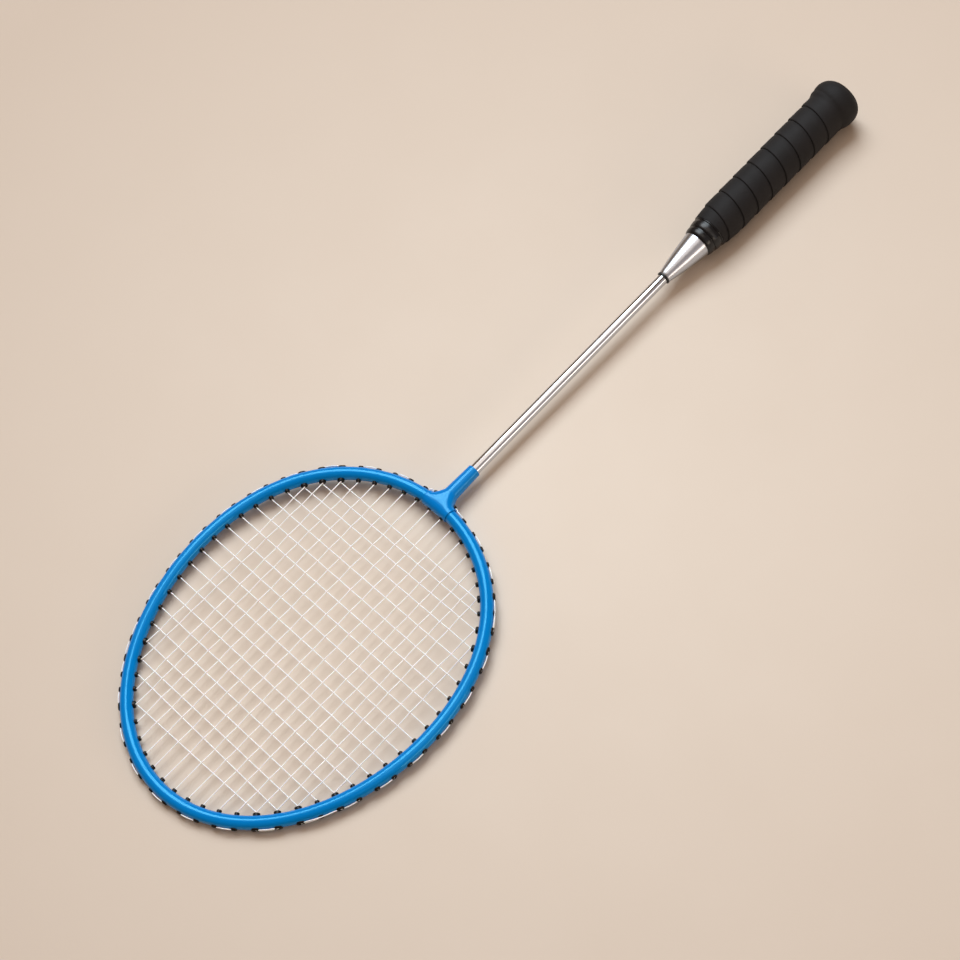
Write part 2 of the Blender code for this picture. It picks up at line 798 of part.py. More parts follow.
def make_cone():
    """The polished cone, hollow under a collar that is bored for the shaft."""
    foot = CONE_START + FIT_GAP
    collar = RING_START - CONE_COLLAR
    bore = SHAFT_DIAMETER / 2 + FIT_GAP
    outside = [RING_START - (RING_START - foot) * k / CONE_BANDS for k in range(CONE_BANDS + 1)]
    profile = [(cone_radius(height), height) for height in outside]
    profile.append((cone_radius(foot) - CONE_WALL, foot))
    profile.append((cone_radius(collar) - CONE_WALL, collar))
    profile += [(bore, collar), (bore, RING_START)]
    cone = turned_part("cone_cap", profile, TURNED_STEPS, closed=True)
    return finish(cone, new_material("polished_aluminium", (200, 200, 203), 0.2, 1))


def grip_radius(height):
    """The outside of the wrapped handle: rounded butt, flare, body and tapered top."""
    neck = GRIP_NECK_DIAMETER / 2
    body = GRIP_BODY_DIAMETER / 2
    butt = BUTT_DIAMETER / 2
    rise_start = GRIP_LENGTH - GRIP_RISE
    if height < BUTT_CORNER:
        below = BUTT_CORNER - max(height, 0)
        return butt - BUTT_CORNER + math.sqrt(BUTT_CORNER**2 - below**2)
    if height < NECK_PLACE:
        share = (height - BUTT_CORNER) / (NECK_PLACE - BUTT_CORNER)
        return neck + (butt - neck) * (1 + math.cos(math.pi * share)) / 2
    if height < rise_start:
        return neck + (body - neck) * (height - NECK_PLACE) / (rise_start - NECK_PLACE)
    share = min((height - rise_start) / GRIP_RISE, 1)
    return body + (GRIP_TOP_DIAMETER / 2 - body) * share


def core_radius(height):
    """The wood under the wrap."""
    return grip_radius(height) - WRAP_THICKNESS - FIT_GAP


def tape_radius(height):
    """The outside of the tape: from the grip's top edge down to the cone, with one step."""
    wide = GRIP_TOP_DIAMETER / 2 - WRAP_STEP
    share = (height - TAPE_START) / TAPE_LENGTH
    return wide + (CONE_WIDE_DIAMETER / 2 - wide) * share


def make_handle_core():
    """The turned wood handle, bored from the top for the shaft and from below for the cap."""
    bore = SHAFT_DIAMETER / 2 + FIT_GAP
    bore_floor = CONE_START - SHAFT_IN_HANDLE - FIT_GAP
    spigot_top = CONE_START + CORE_SPIGOT_LENGTH
    under_cone = CONE_WALL + FIT_GAP
    under_tape = TAPE_THICKNESS + FIT_GAP
    foot = CAP_THICKNESS + FIT_GAP
    cap_bore = CAP_SPIGOT_DIAMETER / 2 + FIT_GAP
    cap_floor = CAP_THICKNESS + CAP_SPIGOT_LENGTH + FIT_GAP
    profile = [(0, bore_floor), (bore, bore_floor), (bore, spigot_top)]
    profile.append((cone_radius(spigot_top) - under_cone, spigot_top))
    profile.append((cone_radius(CONE_START) - under_cone, CONE_START))
    profile.append((tape_radius(CONE_START) - under_tape, CONE_START))
    profile.append((tape_radius(TAPE_START) - under_tape, TAPE_START))
    rise_start = GRIP_LENGTH - GRIP_RISE
    flare = [NECK_PLACE + (BUTT_CORNER - NECK_PLACE) * k / FLARE_BANDS for k in range(FLARE_BANDS + 1)]
    corner = [BUTT_CORNER / 2, foot]
    for height in [TAPE_START - FIT_GAP, rise_start, *flare, *corner]:
        profile.append((core_radius(height), height))
    profile += [(cap_bore, foot), (cap_bore, cap_floor), (0, cap_floor)]
    core = turned_part("handle_core", profile, TURNED_STEPS)
    return finish(core, new_material("wood", (196, 158, 108), 0.6))


def make_butt_cap():
    """The plastic cap that closes the butt, with a spigot in the wood."""
    spigot = CAP_SPIGOT_DIAMETER / 2
    top = CAP_THICKNESS + CAP_SPIGOT_LENGTH
    heights = [CAP_THICKNESS, CAP_THICKNESS / 2, CAP_THICKNESS / 6, 0]
    profile = [(0, top), (spigot, top), (spigot, CAP_THICKNESS)]
    profile += [(grip_radius(height), height) for height in heights]
    profile.append((0, 0))
    cap = turned_part("butt_cap", profile, TURNED_STEPS)
    return finish(cap, new_material("cap_black", (30, 30, 31), 0.5))


def make_finishing_tape():
    """The glossy tape, two turns that step down toward the cone."""
    step = TAPE_START + TAPE_STEP_PLACE
    foot = TAPE_START + FIT_GAP
    profile = [(tape_radius(CONE_START), CONE_START), (tape_radius(step), step)]
    profile.append((tape_radius(step) + TAPE_STEP, step))
    profile.append((tape_radius(foot) + TAPE_STEP, foot))
    profile.append((tape_radius(foot) - TAPE_THICKNESS, foot))
    profile.append((tape_radius(CONE_START) - TAPE_THICKNESS, CONE_START))
    tape = turned_part("finishing_tape", profile, TURNED_STEPS, closed=True)
    return finish(tape, new_material("tape_black", (14, 14, 16), 0.15))


def crosses_bend(edge):
    """Whether an edge of the band runs along the handle where the handle isn't straight."""
    low, high = sorted(vert.co.z for vert in edge.verts)
    bent = low < NECK_PLACE or high > GRIP_LENGTH - GRIP_RISE
    return bent and high - low > WRAP_PITCH / 6


def straight_band():
    """The band wound on a plain rod in one piece, cut square at the butt cap and at the tape.

    It climbs from the -X side round the back to +X and over the front, against a screw's thread.
    """
    turns = math.ceil(GRIP_LENGTH / WRAP_PITCH) + 2
    below = WRAP_PLACE - 2 * WRAP_PITCH
    above = below + WRAP_PITCH - WRAP_SEAM
    low_edge = BAND_GUIDE + WRAP_THICKNESS - WRAP_STEP / 2
    high_edge = BAND_GUIDE + WRAP_THICKNESS + WRAP_STEP / 2
    profile = [(high_edge, above), (low_edge, below), (BAND_GUIDE, below), (BAND_GUIDE, above)]
    mesh = turned_mesh("band", profile, TURNED_STEPS, closed=True, pitch=WRAP_PITCH, turns=turns)
    shape = bmesh.new()
    shape.from_mesh(mesh)
    bmesh.ops.scale(shape, vec=(-1, 1, 1), verts=shape.verts)
    bmesh.ops.holes_fill(shape, edges=shape.edges, sides=4)
    bmesh.ops.recalc_face_normals(shape, faces=shape.faces)
    shape.to_mesh(mesh)
    shape.free()
    band = add_object("band", mesh, CUTTERS)
    foot = CAP_THICKNESS + FIT_GAP
    trim = (Vector(), Vector((0, 0, 1)), foot, GRIP_LENGTH - FIT_GAP, BUTT_DIAMETER)
    cutter = add_cutter("band_trim", rods_mesh("band_trim", [trim], TURNED_STEPS))
    boolean(band, cutter, "INTERSECT")
    result = evaluated_mesh(band)
    bpy.data.objects.remove(band)
    bpy.data.objects.remove(cutter)
    return result


def make_grip_wrap():
    """The soft band: wound straight, then drawn in or out to lie on the turned wood."""
    mesh = straight_band()
    shape = bmesh.new()
    shape.from_mesh(mesh)
    across = [edge for edge in shape.edges if crosses_bend(edge)]
    bmesh.ops.subdivide_edges(shape, edges=across, cuts=FLARE_BANDS, use_grid_fill=True)
    for vert in shape.verts:
        radius = math.hypot(vert.co.x, vert.co.y)
        wanted = core_radius(vert.co.z) + FIT_GAP + radius - BAND_GUIDE
        vert.co.x *= wanted / radius
        vert.co.y *= wanted / radius
    shape.to_mesh(mesh)
    shape.free()
    wrap = add_object("grip_wrap", mesh, PARTS)
    wrap.rotation_euler = (-math.pi / 2, 0, 0)
    return finish(wrap, new_material("grip_black", (48, 45, 44), 0.7))


# Check of the string routes


def string_samples(route):
    """Points along a route, each with its distance from the route's start."""
    samples = []
    travelled = 0.0
    for first, second in zip(route, route[1:]):
        length = (second - first).length
        count = max(1, round(length / SAMPLE_SPACING))
        for k in range(count):
            samples.append((first.lerp(second, k / count), travelled + length * k / count))
        travelled += length
    return samples


def print_string_gaps():
    """Prints each string's length, its least gap to itself and the gap between the two."""
    routes = {
        "main_string": string_samples(MAIN_ROUTE),
        "cross_string": string_samples(CROSS_ROUTE),
    }
    trees = {}
    for name, samples in routes.items():
        tree = kdtree.KDTree(len(samples))
        for k, (place, _) in enumerate(samples):
            tree.insert(place, k)
        tree.balance()
        trees[name] = tree
    for name, samples in routes.items():
        least = math.inf
        for place, travelled in samples:
            for _, other, distance in trees[name].find_range(place, SEARCH_RADIUS):
                if abs(samples[other][1] - travelled) > 2 * SEARCH_RADIUS:
                    least = min(least, distance)
        length = samples[-1][1]
        gap = (least - STRING_DIAMETER) * 1000
        print(f"{name}: {length:.3f} m long, least gap to itself {gap:.2f} mm")
    between = min(trees["cross_string"].find(place)[2] for place, _ in routes["main_string"])
    print(f"least gap between the strings {(between - STRING_DIAMETER) * 1000:.2f} mm")


clear_scene()
PARTS = new_collection("badminton_racket")
CUTTERS = new_collection("cutters", hidden=True)
RACKET = add_object("racket", None, PARTS)
MAIN_X = main_places()
CROSS_Y = cross_places()
HOLES = string_holes()
PASSED = {number: crossings_of_main(number) for number in range(1, MAIN_COUNT + 1)}
MAIN_ROUTE = main_route()
CROSS_ROUTE = cross_route()

make_head_frame()
make_t_joint()
make_grommets()
make_strings()
make_shaft()
make_cone_ring()
make_cone()
make_handle_core()
make_butt_cap()
make_finishing_tape()
make_grip_wrap()
print_string_gaps()
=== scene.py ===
"""The look of a junior badminton racket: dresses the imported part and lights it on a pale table.

Lengths are in metres. The racket lies along +Y, its butt is at the origin and its strings face +Z.
"""

import math
from dataclasses import dataclass

import bmesh
import bpy
from mathutils import Matrix, Vector


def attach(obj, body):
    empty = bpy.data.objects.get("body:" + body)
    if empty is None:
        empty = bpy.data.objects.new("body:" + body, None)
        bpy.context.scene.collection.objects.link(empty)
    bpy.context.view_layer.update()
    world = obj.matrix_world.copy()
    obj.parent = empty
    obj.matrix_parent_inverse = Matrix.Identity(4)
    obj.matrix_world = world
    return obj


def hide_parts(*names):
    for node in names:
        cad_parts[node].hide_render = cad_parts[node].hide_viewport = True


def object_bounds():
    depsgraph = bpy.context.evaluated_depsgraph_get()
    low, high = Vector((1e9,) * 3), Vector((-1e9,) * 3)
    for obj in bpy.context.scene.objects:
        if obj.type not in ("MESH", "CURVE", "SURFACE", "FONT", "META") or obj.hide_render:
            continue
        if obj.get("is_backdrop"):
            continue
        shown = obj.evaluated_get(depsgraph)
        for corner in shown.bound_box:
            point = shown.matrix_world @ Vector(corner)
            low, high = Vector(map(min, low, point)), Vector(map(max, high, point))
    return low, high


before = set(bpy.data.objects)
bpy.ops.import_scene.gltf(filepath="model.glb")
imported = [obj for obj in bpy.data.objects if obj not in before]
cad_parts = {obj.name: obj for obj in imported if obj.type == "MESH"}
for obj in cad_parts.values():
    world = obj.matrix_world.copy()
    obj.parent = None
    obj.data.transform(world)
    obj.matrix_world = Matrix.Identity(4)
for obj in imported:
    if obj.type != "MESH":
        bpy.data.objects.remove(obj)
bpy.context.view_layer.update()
scene = bpy.context.scene


# Camera
# The photo looks down on the strings, with the handle running to the upper right of the picture.
# Its place and its turn were solved from the straight strings, the oval of the head and the shaft.

PHOTO_SIDE = 960
FOCAL_LENGTH = 2150 / PHOTO_SIDE  # in widths of the picture
SENSOR_WIDTH = 36
CAMERA_PLACE = Vector((-0.5516, 0.6145, 1.1627))
CAMERA_RIGHT = Vector((-0.7065, -0.6860, -0.1741))
CAMERA_BACK = Vector((-0.4152, 0.2025, 0.8869))

camera = bpy.data.objects.new("camera", bpy.data.cameras.new("camera"))
camera.data.sensor_width = SENSOR_WIDTH
camera.data.lens = SENSOR_WIDTH * FOCAL_LENGTH
camera_turn = Matrix((CAMERA_RIGHT, CAMERA_BACK.cross(CAMERA_RIGHT), CAMERA_BACK)).transposed()
camera.matrix_world = Matrix.Translation(CAMERA_PLACE) @ camera_turn.to_4x4()
scene.collection.objects.link(camera)
scene.camera = camera


# Table
# A wide sheet of matt cream paper. The racket rests on the rim of its butt and on the tip of its
# head, so the sheet is tilted by about a degree against the racket.

TABLE_SIDE = 4.0
BUTT_TOUCH = Vector((0, 0.0062, -0.0163))
TIP_TOUCH = Vector((0, 0.6145, -0.0043))
PAPER_COLOUR = "#E2D6C9"
PAPER_SHADE = "#DDD0C2"
# The sheet's tone at its edges: painted shade, standing in for the light falling off away from the
# middle.
PAPER_EDGE_PAINTED_SHADE = "#C8B8A9"
PAPER_LIT_MIDDLE = Vector((-0.05, 0.33, 0))
PAPER_FALLOFF_REACH = 0.55  # how far from its lit middle the sheet reaches the painted edge shade
PAPER_MOTTLE = 0.060  # size of the faint patches
PAPER_FIBRE = 0.0012
MIX_FIRST = 6  # places of the two colours among a Mix node's inputs
MIX_SECOND = 7


def linear(colour):
    """An sRGB hex colour as linear red, green, blue and alpha."""
    channels = [int(colour[k : k + 2], 16) / 255 for k in (1, 3, 5)]
    return (*(c / 12.92 if c <= 0.04045 else ((c + 0.055) / 1.055) ** 2.4 for c in channels), 1)


def set_inputs(node, inputs):
    """Sets a node's inputs to values, or links them to other nodes or their sockets."""
    for name, value in inputs.items():
        if isinstance(value, bpy.types.Node):
            value = next(output for output in value.outputs if output.enabled)
        if isinstance(value, bpy.types.NodeSocket):
            node.id_data.links.new(value, node.inputs[name])
        else:
            node.inputs[name].default_value = value


def add_node(material, kind, inputs, **settings):
    """Adds a shader node with its settings, values and links."""
    node = material.node_tree.nodes.new(kind)
    for name, value in settings.items():
        setattr(node, name, value)
    set_inputs(node, inputs)
    return node


def new_material(name, inputs):
    """A Principled material with these inputs, its shader and its object coordinates."""
    material = bpy.data.materials.new(name)
    material.use_nodes = True
    shader = material.node_tree.nodes["Principled BSDF"]
    set_inputs(shader, inputs)
    place = add_node(material, "ShaderNodeTexCoord", {}).outputs["Object"]
    return material, shader, place


# Matt uncoated paper: no gloss, a faint warm mottle and short fibres, and painted shade darkening
# it toward the edges.
paper, paper_shader, place = new_material("matt_paper", {"Roughness": 0.9, "IOR": 1.45})
mottle = add_node(
    paper, "ShaderNodeTexNoise", {"Vector": place, "Scale": 1 / PAPER_MOTTLE, "Detail": 2}
)
sheet = add_node(
    paper,
    "ShaderNodeMix",
    {"Factor": mottle, MIX_FIRST: linear(PAPER_COLOUR), MIX_SECOND: linear(PAPER_SHADE)},
    data_type="RGBA",
)
centring = {"Vector": place, "Location": -PAPER_LIT_MIDDLE / PAPER_FALLOFF_REACH, "Scale": [1 / PAPER_FALLOFF_REACH] * 3}
centred = add_node(paper, "ShaderNodeMapping", centring)
# Painted shade: a round gradient darkens the sheet toward its edges, where the light falls off.
painted_edge_shade = add_node(
    paper, "ShaderNodeTexGradient", {"Vector": centred}, gradient_type="SPHERICAL"
)
tint = add_node(
    paper,
    "ShaderNodeMix",
    {"Factor": painted_edge_shade.outputs["Fac"], MIX_FIRST: linear(PAPER_EDGE_PAINTED_SHADE), MIX_SECOND: sheet},
    data_type="RGBA",
)
fibre = add_node(
    paper, "ShaderNodeTexNoise", {"Vector": place, "Scale": 1 / PAPER_FIBRE, "Detail": 4}
)
relief = add_node(paper, "ShaderNodeBump", {"Height": fibre, "Strength": 0.15, "Distance": 0.0002})
set_inputs(paper_shader, {"Base Color": tint, "Normal": relief})

shape = bmesh.new()
along = (TIP_TOUCH - BUTT_TOUCH).normalized()
across = Vector((1, 0, 0))
turn = Matrix((across, along, across.cross(along))).transposed().to_4x4()
middle = Matrix.Translation((BUTT_TOUCH + TIP_TOUCH) / 2)
bmesh.ops.create_grid(shape, x_segments=1, y_segments=1, size=TABLE_SIDE / 2, matrix=middle @ turn)
mesh = bpy.data.meshes.new("table")
shape.to_mesh(mesh)
shape.free()
mesh.materials.append(paper)
table = bpy.data.objects.new("table", mesh)
scene.collection.objects.link(table)
table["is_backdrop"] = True


# Studio light
# A wide key lamp beyond the top of the picture throws the shadows toward its lower edge. A box
# overhead, a small one low at the side and a dim grey panel between them give the chrome and the
# enamel their bright lines. What the warm room sends back fills the shadows.

LIGHT_TARGET = Vector((0, 0.33, 0))
# Degrees round the racket's length, degrees toward the butt, distance, width round the length,
# width along it, brightness and colour
LAMPS = {
    "key_lamp": (27, 22, 5.0, 3.00, 3.50, 7.5, "#E9F6FF"),
    "overhead_box": (12.5, 8, 5.6, 8.60, 3.00, 1.35, "#FFF3E8"),
    "side_box": (-76.5, 8, 4.0, 0.90, 2.40, 5.0, "#FFEEDD"),
    "grey_panel": (-48, 8, 4.6, 3.20, 5.00, 0.34, "#F2F5FF"),
}
ROOM_COLOUR = "#FFC890"
ROOM_STRENGTH = 0.19

for name, (around, back, distance, width, length, brightness, colour) in LAMPS.items():
    lamp = bpy.data.lights.new(name, "AREA")
    lamp.shape = "RECTANGLE"
    lamp.size = width
    lamp.size_y = length
    lamp.energy = brightness * math.pi * width * length
    lamp.color = linear(colour)[:3]
    turn = Matrix.Rotation(math.radians(around), 4, "Y")
    turn = turn @ Matrix.Rotation(math.radians(back), 4, "X")
    away = Matrix.Translation((0, 0, distance))
    holder = bpy.data.objects.new(name, lamp)
    holder.matrix_world = Matrix.Translation(LIGHT_TARGET) @ turn @ away
    scene.collection.objects.link(holder)

room = bpy.data.worlds.new("room")
room.use_nodes = True
background = room.node_tree.nodes["Background"]
set_inputs(background, {"Color": linear(ROOM_COLOUR), "Strength": ROOM_STRENGTH})
scene.world = room
scene.view_settings.view_transform = "Standard"


# Head frame
# One steel tube, 8.4 mm across, bent to an egg-shaped oval and stove-enamelled bright blue.
# Its two ends meet inside the T joint, so it is a closed ring here.

THROAT_Y = 0.3776  # the tube's centre line where it crosses the shaft's axis
HEAD_LENGTH = 0.2369
HEAD_HALF_WIDTH = 0.0989
HEAD_EGG = 0.062  # how far the widest place moves toward the throat
HEAD_FULLNESS = 0.036  # how square the oval's shoulders are
TUBE_RADIUS = 0.0042
TUBE_SIDES = 32
TUBE_STEPS = 240
ENAMEL_BLUE = "#0080D1"
ENAMEL_DEEP = "#0078C6"
ENAMEL_GLOSS = "#7CEAFF"
ENAMEL_PATCH = 0.04
ENAMEL_PEEL = 0.0011  # size of the ripple that the sprayed enamel dries with
SEAM_REACH = 1e-7  # corners this near to each other are one


def head_point(angle):
    """A point of the tube's centre line; angle 0 is the throat and pi the tip."""
    swell = 1 + HEAD_EGG * math.cos(angle) + HEAD_FULLNESS * math.cos(angle) ** 2
    x = HEAD_HALF_WIDTH * math.sin(angle) * swell
    return Vector((x, THROAT_Y + HEAD_LENGTH / 2 * (1 - math.cos(angle)), 0))


def head_outward(angle):
    """The direction out of the oval, square to the tube."""
    step = 1e-4
    along = (head_point(angle + step) - head_point(angle - step)).normalized()
    return Vector((along.y, -along.x, 0))


def add_piece(name, shape, material):
    """Adds a bmesh as a smooth-shaded object with outward faces."""
    bmesh.ops.remove_doubles(shape, verts=shape.verts, dist=SEAM_REACH)
    bmesh.ops.recalc_face_normals(shape, faces=shape.faces)
    mesh = bpy.data.meshes.new(name)
    shape.to_mesh(mesh)
    shape.free()
    mesh.materials.append(material)
    mesh.shade_smooth()
    piece = bpy.data.objects.new(name, mesh)
    scene.collection.objects.link(piece)
    return piece


# Stove enamel on steel: a deep even blue under a clear gloss, with the faint ripple of the spray.
enamel, enamel_shader, place = new_material(
    "stove_enamel",
    {"Roughness": 0.08, "IOR": 1.56, "Specular Tint": linear(ENAMEL_GLOSS)},
)
patches = add_node(
    enamel, "ShaderNodeTexNoise", {"Vector": place, "Scale": 1 / ENAMEL_PATCH, "Detail": 3}
)
tint = add_node(
    enamel,
    "ShaderNodeMix",
    {"Factor": patches, MIX_FIRST: linear(ENAMEL_BLUE), MIX_SECOND: linear(ENAMEL_DEEP)},
    data_type="RGBA",
)
peel = add_node(
    enamel, "ShaderNodeTexNoise", {"Vector": place, "Scale": 1 / ENAMEL_PEEL, "Detail": 2}
)
relief = add_node(enamel, "ShaderNodeBump", {"Height": peel, "Strength": 0.04, "Distance": 0.00015})
set_inputs(enamel_shader, {"Base Color": tint, "Normal": relief})

shape = bmesh.new()
ring_radius = HEAD_LENGTH / 2
upright = Matrix.Translation((0, -ring_radius, 0)) @ Matrix.Rotation(math.pi / 2, 4, "Y")
bmesh.ops.create_circle(shape, segments=TUBE_SIDES, radius=TUBE_RADIUS, matrix=upright)
bmesh.ops.spin(
    shape,
    geom=shape.verts[:] + shape.edges[:],
    cent=(0, 0, 0),
    axis=(0, 0, 1),
    angle=2 * math.pi,
    steps=TUBE_STEPS,
    use_merge=True,
)
for vert in shape.verts:
    angle = math.atan2(vert.co.x, -vert.co.y)
    outward = math.hypot(vert.co.x, vert.co.y) - ring_radius
    vert.co = head_point(angle) + head_outward(angle) * outward + Vector((0, 0, vert.co.z))
head = add_piece("head_tube", shape, enamel)
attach(head, "root")
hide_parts("head_frame")


# T joint
# A glossy blue plastic moulding. Its sleeve is pushed over the two ends of the head tube, its stem
# takes the shaft, and wide fillets join the two. It is glued to both.

SLEEVE_HALF = 0.0102
SLEEVE_END_RADIUS = 0.0050
SLEEVE_MIDDLE_RADIUS = 0.0053
FILLET_REACH = 0.0072  # how far along the sleeve the fillets spread
FILLET_TOP = 0.0100
STEM_LENGTH = 0.0314
STEM_BASE_RADIUS = 0.0049
STEM_END_RADIUS = 0.0042
STEM_RINGS = (0.0112, 0.0134, 0.0200, 0.0270, 0.0298)  # down the stem, from the head tube
STEM_RIM_LENGTH = 0.0013
STEM_RIM_STEP = 0.00012  # how far the rim at the stem's end stands proud
SHAFT_RADIUS = 0.0035
PART_EDGE = 0.0004  # rounding of the moulding's rims
GLUE_GAP = 0.0001
MOUTH_LENGTH = 0.002  # how deep the bores are drawn round the tube and the shaft
SLEEVE_SIDES = 8
STEM_SIDES = 12
PLASTIC_BLUE = "#007CCF"
PLASTIC_GLOSS = "#90E9FF"
PLASTIC_FLOW = 0.009  # size of the slow waves that a moulding cools with


def smoothed(radius, sides):
    """The radius of a cage whose subdivided surface has this radius."""
    return radius / (2 / 3 + math.cos(2 * math.pi / sides) / 3)


def extend(shape, edges, place):
    """Extrudes an open ring of edges and puts each new corner where the function says."""
    grown = bmesh.ops.extrude_edge_only(shape, edges=edges)["geom"]
    for vert in grown:
        if isinstance(vert, bmesh.types.BMVert):
            vert.co = place(vert.co)
    return [edge for edge in grown if isinstance(edge, bmesh.types.BMEdge)]


def sleeve_corner(x, radius):
    """Moves a corner of the sleeve's cage to a place along it and a distance from its middle."""
    return lambda co: Vector((x, *(Vector(co.yz).normalized() * smoothed(radius, SLEEVE_SIDES))))


def stem_corner(y, radius):
    """The same for the stem, whose axis runs toward the butt."""

    def moved(co):
        side = Vector((co.x, co.z)).normalized() * smoothed(radius, STEM_SIDES)
        return Vector((side.x, y, side.y))

    return moved


# Injection-moulded ABS: saturated blue, a soft gloss, and slow waves from uneven cooling.
moulded, moulded_shader, place = new_material(
    "moulded_abs",
    {
        "Base Color": linear(PLASTIC_BLUE),
        "Roughness": 0.14,
        "IOR": 1.53,
        "Specular Tint": linear(PLASTIC_GLOSS),
    },
)
waves = add_node(
    moulded, "ShaderNodeTexNoise", {"Vector": place, "Scale": 1 / PLASTIC_FLOW, "Detail": 2}
)
relief = add_node(moulded, "ShaderNodeBump", {"Height": waves, "Strength": 0.2, "Distance": 0.0006})
set_inputs(moulded_shader, {"Normal": relief})

shape = bmesh.new()
sideways = Matrix.Rotation(math.pi / 2, 4, "Y")
bore = TUBE_RADIUS + GLUE_GAP
stations = [
    (-SLEEVE_HALF + MOUTH_LENGTH, bore),
    (-SLEEVE_HALF, bore),
    (-SLEEVE_HALF, SLEEVE_END_RADIUS - PART_EDGE / 2),
    (-SLEEVE_HALF + PART_EDGE / 2, SLEEVE_END_RADIUS),
    (-SLEEVE_HALF + 3 * PART_EDGE, SLEEVE_END_RADIUS),
    (-FILLET_REACH, (SLEEVE_END_RADIUS + SLEEVE_MIDDLE_RADIUS) / 2),
    (0, SLEEVE_MIDDLE_RADIUS),
]
stations += [(-x, radius) for x, radius in stations[-2::-1]]
bmesh.ops.create_circle(
    shape,
    cap_ends=True,
    segments=SLEEVE_SIDES,
    radius=smoothed(bore, SLEEVE_SIDES),
    matrix=Matrix.Translation((stations[0][0], 0, 0)) @ sideways,
)
edges = shape.edges[:]
for x, radius in stations[1:]:
    edges = extend(shape, edges, sleeve_corner(x, radius))
bmesh.ops.holes_fill(shape, edges=edges, sides=SLEEVE_SIDES)
window = [
    face
    for face in shape.faces
    if abs(face.calc_center_median().x) < FILLET_REACH
    and face.calc_center_median().y < -PART_EDGE
    and face.calc_center_median().length > TUBE_RADIUS
]
bmesh.ops.delete(shape, geom=window, context="FACES")
rim = [edge for edge in shape.edges if edge.is_boundary]
stem_start = Matrix.Translation((0, -FILLET_TOP, 0)) @ Matrix.Rotation(math.pi / 2, 4, "X")
bmesh.ops.create_circle(
    shape, segments=STEM_SIDES, radius=smoothed(STEM_BASE_RADIUS, STEM_SIDES), matrix=stem_start
)
edges = [edge for edge in shape.edges if edge.is_wire]
bmesh.ops.bridge_loops(shape, edges=rim + edges)
taper = (STEM_END_RADIUS - STEM_BASE_RADIUS) / (STEM_LENGTH - FILLET_TOP)
rim_radius = STEM_END_RADIUS + STEM_RIM_STEP
for y, radius in (
    *((-ring, STEM_BASE_RADIUS + taper * (ring - FILLET_TOP)) for ring in STEM_RINGS),
    (-STEM_LENGTH + STEM_RIM_LENGTH, rim_radius),
    (-STEM_LENGTH + PART_EDGE, rim_radius),
    (-STEM_LENGTH, rim_radius - PART_EDGE / 2),
    (-STEM_LENGTH, SHAFT_RADIUS + GLUE_GAP),
    (-STEM_LENGTH + MOUTH_LENGTH, SHAFT_RADIUS + GLUE_GAP),
):
    edges = extend(shape, edges, stem_corner(y, radius))
bmesh.ops.holes_fill(shape, edges=edges, sides=STEM_SIDES)
for vert in shape.verts:
    angle = math.asin(vert.co.x / HEAD_HALF_WIDTH / (1 + HEAD_EGG + HEAD_FULLNESS))
    bend = min(max(1 + (vert.co.y + SLEEVE_MIDDLE_RADIUS) / SLEEVE_MIDDLE_RADIUS, 0), 1)
    out = Vector((0, -1, 0)).lerp(head_outward(angle), bend)
    vert.co = head_point(angle) - out * vert.co.y + Vector((0, 0, vert.co.z))
joint = add_piece("t_joint_moulding", shape, moulded)
rounding = joint.modifiers.new("rounding", "SUBSURF")
rounding.levels = 3
rounding.render_levels = 3
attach(joint, "root")
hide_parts("t_joint")


# Shaft
# A straight steel tube, 7 mm across and chrome-plated. One end is glued into the T joint and the
# other runs through the cone deep into the wooden handle.

STEM_END_Y = THROAT_Y - STEM_LENGTH
SHAFT_TOP = STEM_END_Y + 0.0187
SHAFT_FOOT = 0.0619
SHAFT_WALL = 0.0006
RIM_BEVEL = 0.00015
TURN_STEPS = 64
POLE_REACH = 1e-6  # corners this near to each other on the axis are one
CHROME = "#C8CCD3"
CHROME_SHADE = "#BCC0C8"
POLISH_LINE = 0.0004  # the real polishing lines are finer, and would not show
POLISH_STRETCH = 0.008  # the lines run along the tube
RIM_ANGLE = math.radians(35)  # turned pieces are rounded where they bend more than this
SHARP_ANGLE = math.radians(50)  # and shaded sharp where they bend more than this


def turned(profile, steps, bevel=0.0):
    """A closed profile of (radius, y) points turned about the shaft's axis, its rims rounded."""
    shape = bmesh.new()
    corners = [shape.verts.new((radius, y, 0)) for radius, y in profile]
    for corner, after in zip(corners, corners[1:] + corners[:1]):
        if corner.co.x or after.co.x:
            shape.edges.new((corner, after))
    bmesh.ops.spin(
        shape,
        geom=shape.verts[:] + shape.edges[:],
        cent=(0, 0, 0),
        axis=(0, 1, 0),
        angle=2 * math.pi,
        steps=steps,
        use_merge=True,
    )
    bmesh.ops.remove_doubles(shape, verts=shape.verts, dist=POLE_REACH)
    bmesh.ops.recalc_face_normals(shape, faces=shape.faces)
    if bevel:
        rims = [edge for edge in shape.edges if edge.calc_face_angle(0) > RIM_ANGLE]
        bmesh.ops.bevel(
            shape,
            geom=rims,
            offset=bevel,
            segments=3,
            profile=0.5,
            affect="EDGES",
            material=-1,
        )
    return shape


def lay_grain(material, shader, grain, tones, strength, depth):
    """Finishes a material with a grain, which mixes its two tones and gives it relief."""
    first, second = (linear(tone) for tone in tones)
    mixed = {"Factor": grain, MIX_FIRST: first, MIX_SECOND: second}
    tint = add_node(material, "ShaderNodeMix", mixed, data_type="RGBA")
    raised = {"Height": grain, "Strength": strength, "Distance": depth}
    relief = add_node(material, "ShaderNodeBump", raised)
    set_inputs(shader, {"Base Color": tint, "Normal": relief})


